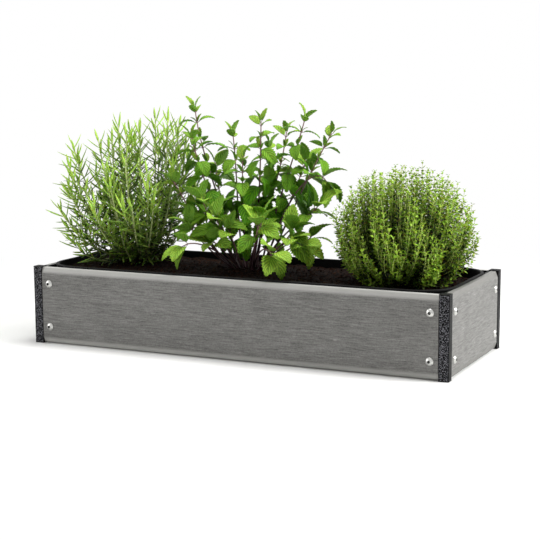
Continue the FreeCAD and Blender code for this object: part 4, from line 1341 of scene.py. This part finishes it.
@dataclass
class Rosemary:
    """The rosemary: upright woody sprigs, bristling with narrow needles that point up and out."""

    tips: tuple[tuple[float, float, float], ...] = (
        (-106, -80, 226), (-102, -100, 186), (-106, -100, 148), (-118, -112, 106), (-112, -100, 72),
        (-72, -112, 28), (-60, -62, 234), (-43, -42, 236), (-41, -22, 260), (-26, -5, 254), (19, -42, 254),
        (31, -5, 274), (79, -42, 272), (83, -5, 266), (-85, 10, 220), (-75, 40, 186), (50, 30, 251),
        (10, 45, 234), (-45, 60, 190), (70, 55, 206), (98, -10, 226), (93, -50, 190), (90, 45, 150),
        (-30, -92, 190), (20, -98, 206), (62, -92, 178), (-5, -110, 150), (-62, -108, 150), (40, -112, 118),
        (76, -95, 122), (-30, -118, 96), (-95, -20, 172), (-100, 30, 120), (60, -25, 240), (-80, -112, 62),
        (0, -60, 246), (-40, -62, 74), (30, -72, 84), (-72, -42, 96), (62, -52, 92), (0, -84, 58),
        (-20, 22, 124), (42, 42, 112), (-60, 58, 112),
    )
    crown_radius: float = 26.0
    crown_hollow: float = 0.3
    foot_wander: float = 5.0
    sink: float = 4.0
    low_out: float = 0.45
    low_up: float = 0.22
    high_in: float = 0.10
    high_down: float = 0.34
    wander: float = 6.0
    path_points: int = 24
    stem_radius: float = 2.1
    tip_radius: float = 1.2
    bare_share: float = 0.06
    side_shoots: int = 1
    side_start: float = 0.3
    side_reach: float = 0.5
    side_length: float = 60.0
    side_swing: Span = (0.6, 1.15)
    side_radius: float = 0.9
    side_tip_radius: float = 0.4
    side_bare_share: float = 0.1
    side_points: int = 10
    # For each control point of a side shoot: its parts along the sprig, out of it and up, and its distance
    side_course: tuple[tuple[float, float, float, float], ...] = (
        (0.4, 0.5, 0.0, 0.35), (0.7, 0.45, 0.2, 0.7), (0.8, 0.35, 0.4, 1.0))
    needle_length: float = 38.0
    needle_width: float = 4.6
    needle_step: float = 5.4
    heading_swing: float = 0.4
    lean_swing: float = 13.0
    size_swing: Span = (0.75, 1.15)
    youth_swing: Span = (-0.2, 0.3)
    face_lean: float = 0.4
    # What holds at some distances from the tip: a needle's lean in degrees, its length as a share, its youth
    leans: tuple[Span, ...] = ((0, 12), (10, 34), (35, 50), (120, 70))
    sizes: tuple[Span, ...] = ((0, 0.6), (10, 0.9), (40, 1.05), (160, 0.8))
    youths: tuple[Span, ...] = ((0, 1.0), (25, 0.7), (80, 0.2))
    seed: int = 21

    def __post_init__(self) -> None:
        """Take the rosemary's place from its root ball."""
        self.foot = top_middle(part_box("rosemary_root_ball"))

    def build(self) -> None:
        """Grow the stems and the needles."""
        random = np.random.default_rng(self.seed)
        stems, needles = [], []
        for number, tip in enumerate(self.tips):
            path = self.sprig_path(np.array(tip, float), number, random)
            stems.append(tube(path, np.linspace(self.stem_radius, self.tip_radius, len(path)), 5))
            needles.append(self.needles(path, self.bare_share, random))
            for side in range(self.side_shoots):
                start = self.side_start + self.side_reach * (side + random.random()) / self.side_shoots
                shoot = self.side_path(path, start, random)
                stems.append(tube(shoot, np.linspace(self.side_radius, self.side_tip_radius, len(shoot)), 4))
                needles.append(self.needles(shoot, self.side_bare_share, random))
        wood = LivingStem("rosemary_stem", foot="#5c4630", tip="#d0dc98", turn=(0.1, 0.5)).material()
        place_piece(join(stems).to_object("rosemary_stems", wood), "liner", "rosemary_leaf", "rosemary_plant")
        skin = LivingLeaf("rosemary_needle_skin", old_and_shade="#14300a", young="#b4da5c", vein_and_groove_shade="#4f7a24",
                          under="#98bf70", roughness=0.38, mottle_size=9.0).material()
        place_piece(join(needles).to_object("rosemary_needles", skin), "liner", "rosemary_leaf")

    def sprig_path(self, tip: np.ndarray, number: int, random: np.random.Generator) -> np.ndarray:
        """Give a sprig's path from the crown to its tip, rising more steeply towards the tip.

        Args:
            tip: The tip's place from the middle of the root ball's top.
            number: The sprig's number.
            random: The source of chance.

        Returns:
            The path's points.
        """
        outward = unit(np.array([tip[0], tip[1], 0.0]))
        crown_share = self.crown_hollow + (1 - self.crown_hollow) * (number * GOLDEN_ANGLE % 1)
        crown_out = outward * (self.crown_radius * crown_share)
        base = self.foot + crown_out + np.array([*jitter(random, self.foot_wander, 2), -self.sink])
        end = self.foot + tip
        run = end - base
        level = outward * np.linalg.norm(run[:2])
        first = base + level * self.low_out + UP * run[2] * self.low_up + jitter(random, self.wander, 3)
        second = end - UP * run[2] * self.high_down - level * self.high_in + jitter(random, self.wander, 3)
        return bend([base, first, second, end], self.path_points)

    def side_path(self, path: np.ndarray, start: float, random: np.random.Generator) -> np.ndarray:
        """Give the path of a short shoot that leaves a sprig and turns up beside it.

        Args:
            path: The sprig's points.
            start: The share of the sprig at which the shoot leaves it.
            random: The source of chance.

        Returns:
            The shoot's points.
        """
        index = int(start * (len(path) - 2))
        base = path[index]
        way = unit(path[index + 1] - path[index])
        out = side_of(way, random.normal(size=3))
        length = self.side_length * random.uniform(*self.side_swing)
        course = [base + (way * ahead + out * aside + UP * up) * length * share
                  for ahead, aside, up, share in self.side_course]
        return bend([base, *course], self.side_points)

    def needles(self, path: np.ndarray, bare: float, random: np.random.Generator) -> Form:
        """Set needles all round a stem.

        Args:
            path: The stem's points.
            bare: The share of the stem near its foot with no needles.
            random: The source of chance.

        Returns:
            The needles as one form.
        """
        total = run_lengths(path)[-1]
        steps = np.arange(total * bare, total, self.needle_step)
        count = len(steps)
        spots, ways = points_along(path, steps)
        from_tip = total - steps
        out = around(ways, np.arange(count) * GOLDEN_ANGLE + jitter(random, self.heading_swing, count))
        lean = np.radians(graded(from_tip, self.leans) + jitter(random, self.lean_swing, count))
        directions = leaning(ways, out, lean)
        faces = side_of(directions, ways - out * self.face_lean)
        size = self.needle_length * graded(from_tip, self.sizes) * random.uniform(*self.size_swing, count)
        marks = np.zeros((count, 4))
        marks[:, 2] = np.clip(graded(from_tip, self.youths) + random.uniform(*self.youth_swing, count), 0, 1)
        width = np.full(count, self.needle_width)
        scale = np.stack([size, width, width], axis=-1)
        return self.needle().copies(facing(directions, faces) * scale[:, None, :], spots, marks)

    @staticmethod
    def needle() -> Form:
        """Make a needle of unit length and width that curves up a little at its tip.

        Returns:
            The needle.
        """
        path = np.array([(0, 0, 0), (0.3, 0, -0.1), (0.65, 0, -0.05), (0.97, 0, 0.15)])
        radii, flat = np.array([0.22, 0.5, 0.46, 0.12]), 0.45
        needle = tube(path, radii, 4, flat=flat)
        # Its rings are laid again, upright and even, so that each needle's broad side faces as it is turned
        ring = np.array([(0, 1, 0), (0, 0, flat), (0, -1, 0), (0, 0, -flat)])
        rings = path[:, None] + ring[None] * radii[:, None, None]
        needle.points[:rings.size // 3] = rings.reshape(-1, 3)
        needle.points[-1] = (1.0, 0, 0.18)
        return needle


@dataclass
class Thyme:
    """The thyme: a dome of wiry stems, each with tiny leaves in crossed pairs."""

    sprig_count: int = 860
    foot_radius: float = 48.0
    foot_swing: Span = (0.1, 1.0)
    sink: float = 3.0
    dome_radius: float = 121.0
    dome_rise: float = 80.0
    dome_shift: float = 11.0
    dome_drop_share: float = -0.52
    lowest_tip: float = 9.0
    clump: float = 0.09
    clump_count: float = 3.2
    ragged: float = 7.0
    tuck: float = 0.35
    inner_cycle: int = 5
    inner_count: int = 2
    inner_swing: Span = (0.5, 0.92)
    low_out: float = 0.25
    low_up: float = 0.35
    low_wander: float = 12.0
    high_out: float = 0.95
    high_up: float = 0.42
    high_wander: float = 15.0
    path_points: int = 9
    stem_radius: float = 0.8
    tip_radius: float = 0.35
    first_leaf: float = 0.5
    leaf_step: float = 6.0
    leafy_length: float = 62.0
    shade_step: float = 9.0
    shade_length: float = 120.0
    crowded_length: float = 12.0
    crowding: float = 0.7
    leafy_share: float = 0.8
    heading_swing: float = 0.5
    lean_swing: Span = (35.0, 75.0)
    size_swing: Span = (0.75, 1.2)
    sprig_youth: Span = (-0.35, 0.3)
    leaf_youth: float = 0.2
    # What holds at some distances from the tip: a leaf's length and its youth; youth 0, on the inner leaves,
    # gives them the near-black painted shade
    sizes: tuple[Span, ...] = ((0, 5.16), (8, 7.74), (62, 8.6), (120, 12.0))
    youths: tuple[Span, ...] = ((0, 1.0), (14, 0.75), (40, 0.3), (62, 0.0))
    seed: int = 8

    def __post_init__(self) -> None:
        """Take the thyme's place from its root ball."""
        self.foot = top_middle(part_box("thyme_root_ball"))

    def build(self) -> None:
        """Grow the stems and the leaves."""
        random = np.random.default_rng(self.seed)
        stems, leaves, shade = [], [], []
        lit = np.arange(self.first_leaf, self.leafy_length, self.leaf_step)
        inner = np.arange(self.leafy_length, self.shade_length, self.shade_step)
        for number in range(self.sprig_count):
            path = self.sprig_path(number, random)
            stems.append(tube(path, np.linspace(self.stem_radius, self.tip_radius, len(path)), 3))
            leaves.append(self.leaves(path, lit, random))
            shade.append(self.leaves(path, inner, random))
        wire = LivingStem("thyme_stem", foot="#8a7448", tip="#c0cc74", turn=(0.1, 0.6)).material()
        place_piece(join(stems).to_object("thyme_stems", wire), "liner", "thyme_leaf", "thyme_plant")
        # Painted shade: the near-black colour of the older, inner leaves stands for shade deep in the dome
        skin = LivingLeaf("thyme_leaf_skin", old_and_shade="#081704", young="#a0c83c", vein_and_groove_shade="#7a9a3a", under="#6f8c44",
                          roughness=0.5, mottle_size=12.0).material()
        place_piece(join(leaves).to_object("thyme_leaves", skin, smooth=False), "liner", "thyme_leaf")
        place_piece(join(shade).to_object("thyme_inner_leaves", skin, smooth=False), "liner", "thyme_leaf")

    def sprig_path(self, number: int, random: np.random.Generator) -> np.ndarray:
        """Give a sprig's path from the foot to its place on the dome.

        Args:
            number: The sprig's number, from the dome's top down.
            random: The source of chance.

        Returns:
            The path's points.
        """
        share = (number + 0.5) / self.sprig_count
        rise = 1 - (1 - self.dome_drop_share) * share
        heading = number * GOLDEN_ANGLE
        flat = math.sqrt(1 - rise * rise)
        way = np.array([flat * math.cos(heading), flat * math.sin(heading), rise])
        swell = 1 + self.clump * noise.noise(Vector(way * self.clump_count))
        depth = self.dome_radius * swell + self.ragged * random.normal()
        depth *= 1 - self.tuck * max(0.0, -rise)
        if number % self.inner_cycle < self.inner_count:
            depth *= random.uniform(*self.inner_swing)
        end = self.foot + np.array([self.dome_shift, 0, self.dome_rise]) + way * depth
        end[2] = max(end[2], self.foot[2] + self.lowest_tip)
        foot_out = np.array([way[0], way[1], 0]) * self.foot_radius * random.uniform(*self.foot_swing)
        base = self.foot + foot_out - UP * self.sink
        run = end - base
        out = np.array([run[0], run[1], 0.0])
        first = (base + out * self.low_out + UP * abs(run[2]) * self.low_up
                 + jitter(random, self.low_wander, 3))
        second = (base + out * self.high_out + UP * run[2] * self.high_up
                  + jitter(random, self.high_wander, 3))
        return bend([base, first, second, end], self.path_points)

    def leaves(self, path: np.ndarray, back: np.ndarray, random: np.random.Generator) -> Form:
        """Set crossed pairs of leaves along a sprig.

        Args:
            path: The sprig's points.
            back: How far each pair is behind the tip.
            random: The source of chance.

        Returns:
            The leaves as one form.
        """
        total = run_lengths(path)[-1]
        back = np.where(back < self.crowded_length, back * self.crowding, back)
        back = back[back < total * self.leafy_share]
        steps = np.repeat(total - back, 2)
        count = len(steps)
        spots, ways = points_along(path, steps)
        pair = np.repeat(np.arange(count // 2), 2)
        crossed = pair * math.pi / 2 + np.tile([0, math.pi], count // 2)
        out = around(ways, crossed + random.uniform(0, self.heading_swing, count))
        directions = leaning(ways, out, np.radians(random.uniform(*self.lean_swing, count)))
        faces = side_of(directions, ways)
        from_tip = total - steps
        size = graded(from_tip, self.sizes) * random.uniform(*self.size_swing, count)
        marks = np.zeros((count, 4))
        age = graded(from_tip, self.youths) + random.uniform(*self.sprig_youth)
        marks[:, 2] = np.clip(age + jitter(random, self.leaf_youth, count), 0, 1)
        return self.leaf().copies(facing(directions, faces) * size[:, None, None], spots, marks)

    @staticmethod
    def leaf() -> Form:
        """Make a closed leaf of unit length, folded a little along its middle.

        Returns:
            The leaf.
        """
        points = np.array([(0, 0, 0), (0.5, -0.32, 0.07), (1.0, 0, -0.04), (0.5, 0.32, 0.07),
                           (0.45, 0, -0.11)])
        faces = [(0, 1, 2, -1), (0, 2, 3, -1), (1, 0, 4, -1), (2, 1, 4, -1), (3, 2, 4, -1), (0, 3, 4, -1)]
        marks = np.zeros((len(points), 4))
        marks[:, 0] = points[:, 0]
        marks[:, 1] = OFF_MIDRIB
        marks[-1, 3] = 1.0
        return Form(points, np.array(faces), marks)


@dataclass(frozen=True)
class StudioLamp:
    """One soft square lamp: its place and aim in metres, its size, and its power."""

    name: str
    place: tuple[float, float, float]
    size: float
    power: float
    aim: tuple[float, float, float] = (0.0, 0.0, 0.15)

    def build(self) -> None:
        """Hang the lamp."""
        lamp = bpy.data.lights.new(self.name, "AREA")
        lamp.energy = self.power
        lamp.size = self.size
        hung = bpy.data.objects.new(self.name, lamp)
        hung.location = self.place
        hung.rotation_euler = (Vector(self.aim) - Vector(self.place)).to_track_quat("-Z", "Y").to_euler()
        bpy.context.scene.collection.objects.link(hung)


@dataclass
class Studio:
    """The pale floor, the lamps, the world and the camera at the photograph's viewing angle."""

    focal_pixels: float = 1346.6
    image_pixels: float = 540.0
    sensor: float = 36.0
    yaw: float = -25.37
    pitch: float = 8.68
    roll: float = -0.33
    camera_place: tuple[float, float, float] = (1047.4, -2182.6, 508.0)
    lamps: tuple[StudioLamp, ...] = (
        StudioLamp("key_lamp", (2.8, 0.45, 1.6), 1.1, 105.0),
        StudioLamp("fill_lamp", (-1.9, -1.3, 1.1), 1.6, 21.0),
        StudioLamp("top_lamp", (0.1, 0.3, 2.8), 1.6, 75.0),
    )
    white: tuple[float, float, float, float] = (1.0, 1.0, 1.0, 1.0)
    world_level: float = 0.13
    paper: str = "#f4f4f2"
    paper_size: float = 30.0
    paper_near: float = 550.0
    paper_far: float = 1300.0

    def build(self) -> None:
        """Set up the studio."""
        bpy.context.scene.view_settings.view_transform = "Standard"
        for lamp in self.lamps:
            lamp.build()
        self.build_world()
        self.build_floor()
        self.build_camera()

    def build_world(self) -> None:
        """Make the world white to the eye and to gloss, and softer as a light."""
        world = bpy.data.worlds.new("studio")
        bpy.context.scene.world = world
        world.use_nodes = True
        tree = world.node_tree
        level = add_node(tree, "MapRange", {"Value": self.looked_at(tree), "To Min": self.world_level,
                                            "To Max": 1.0})
        feed(tree, tree.nodes["Background"], {"Color": self.white, "Strength": level})

    def build_floor(self) -> None:
        """Lay the white paper floor, which keeps the planter's shadow and fades to white further out."""
        half = self.paper_size / 2
        mesh = bpy.data.meshes.new("floor")
        mesh.from_pydata([(-half, -half, 0), (half, -half, 0), (half, half, 0), (-half, half, 0)], [],
                         [(0, 1, 2, 3)])
        material, tree, shader = start_material("studio_paper", Base_Color=linear(self.paper), Roughness=0.9)
        place = add_node(tree, "TexCoord").outputs["Object"]
        away = add_node(tree, "VectorMath", {0: place}, operation="LENGTH")
        far = add_node(tree, "MapRange", {"Value": away, "From Min": self.paper_near * MM,
                                          "From Max": self.paper_far * MM}, interpolation_type="SMOOTHSTEP")
        share = add_node(tree, "Math", {0: far, 1: self.looked_at(tree)}, operation="MULTIPLY")
        glow = add_node(tree, "Emission", {"Color": self.white, "Strength": 1.0})
        blend = add_node(tree, "MixShader", {0: share, 1: shader, 2: glow})
        feed(tree, tree.nodes["Material Output"], {"Surface": blend})
        mesh.materials.append(material)
        floor = bpy.data.objects.new("floor", mesh)
        bpy.context.scene.collection.objects.link(floor)

    @staticmethod
    def looked_at(tree: bpy.types.NodeTree) -> bpy.types.Node:
        """Tell a look at something from light that falls on something else.

        Args:
            tree: The tree that the nodes go in.

        Returns:
            The node that gives 1 to the eye, also by a gloss or through something clear, and 0 to a lamp.
        """
        ray = add_node(tree, "LightPath").outputs
        seen = add_node(tree, "Math", {0: ray["Is Camera Ray"], 1: ray["Is Glossy Ray"]}, operation="MAXIMUM")
        return add_node(tree, "Math", {0: seen, 1: ray["Is Transmission Ray"]}, operation="MAXIMUM")

    def build_camera(self) -> None:
        """Stand the camera where the photograph was taken from."""
        data = bpy.data.cameras.new("camera")
        data.sensor_width = self.sensor
        data.lens = self.focal_pixels * self.sensor / self.image_pixels
        yaw, pitch, roll = (math.radians(angle) for angle in (self.yaw, self.pitch, self.roll))
        ahead = Vector((math.sin(yaw) * math.cos(pitch), math.cos(yaw) * math.cos(pitch), -math.sin(pitch)))
        level = ahead.cross(Vector((0, 0, 1))).normalized()
        upright = level.cross(ahead)
        right = math.cos(roll) * level + math.sin(roll) * upright
        top = math.cos(roll) * upright - math.sin(roll) * level
        turn = Matrix((right, top, -ahead)).transposed().to_4x4()
        camera = bpy.data.objects.new("camera", data)
        camera.matrix_world = Matrix.Translation(Vector(self.camera_place) * MM) @ turn
        bpy.context.scene.collection.objects.link(camera)
        bpy.context.scene.camera = camera


def main() -> None:
    """Dress the box, fill it with soil, grow the herbs and set up the studio."""
    logging.basicConfig(level=logging.INFO, format="%(name)s: %(message)s")
    PlanterBox().dress()
    SoilBed().build()
    Rosemary().build()
    Mint().build()
    Thyme().build()
    Studio().build()


if __name__ == "__main__":
    main()
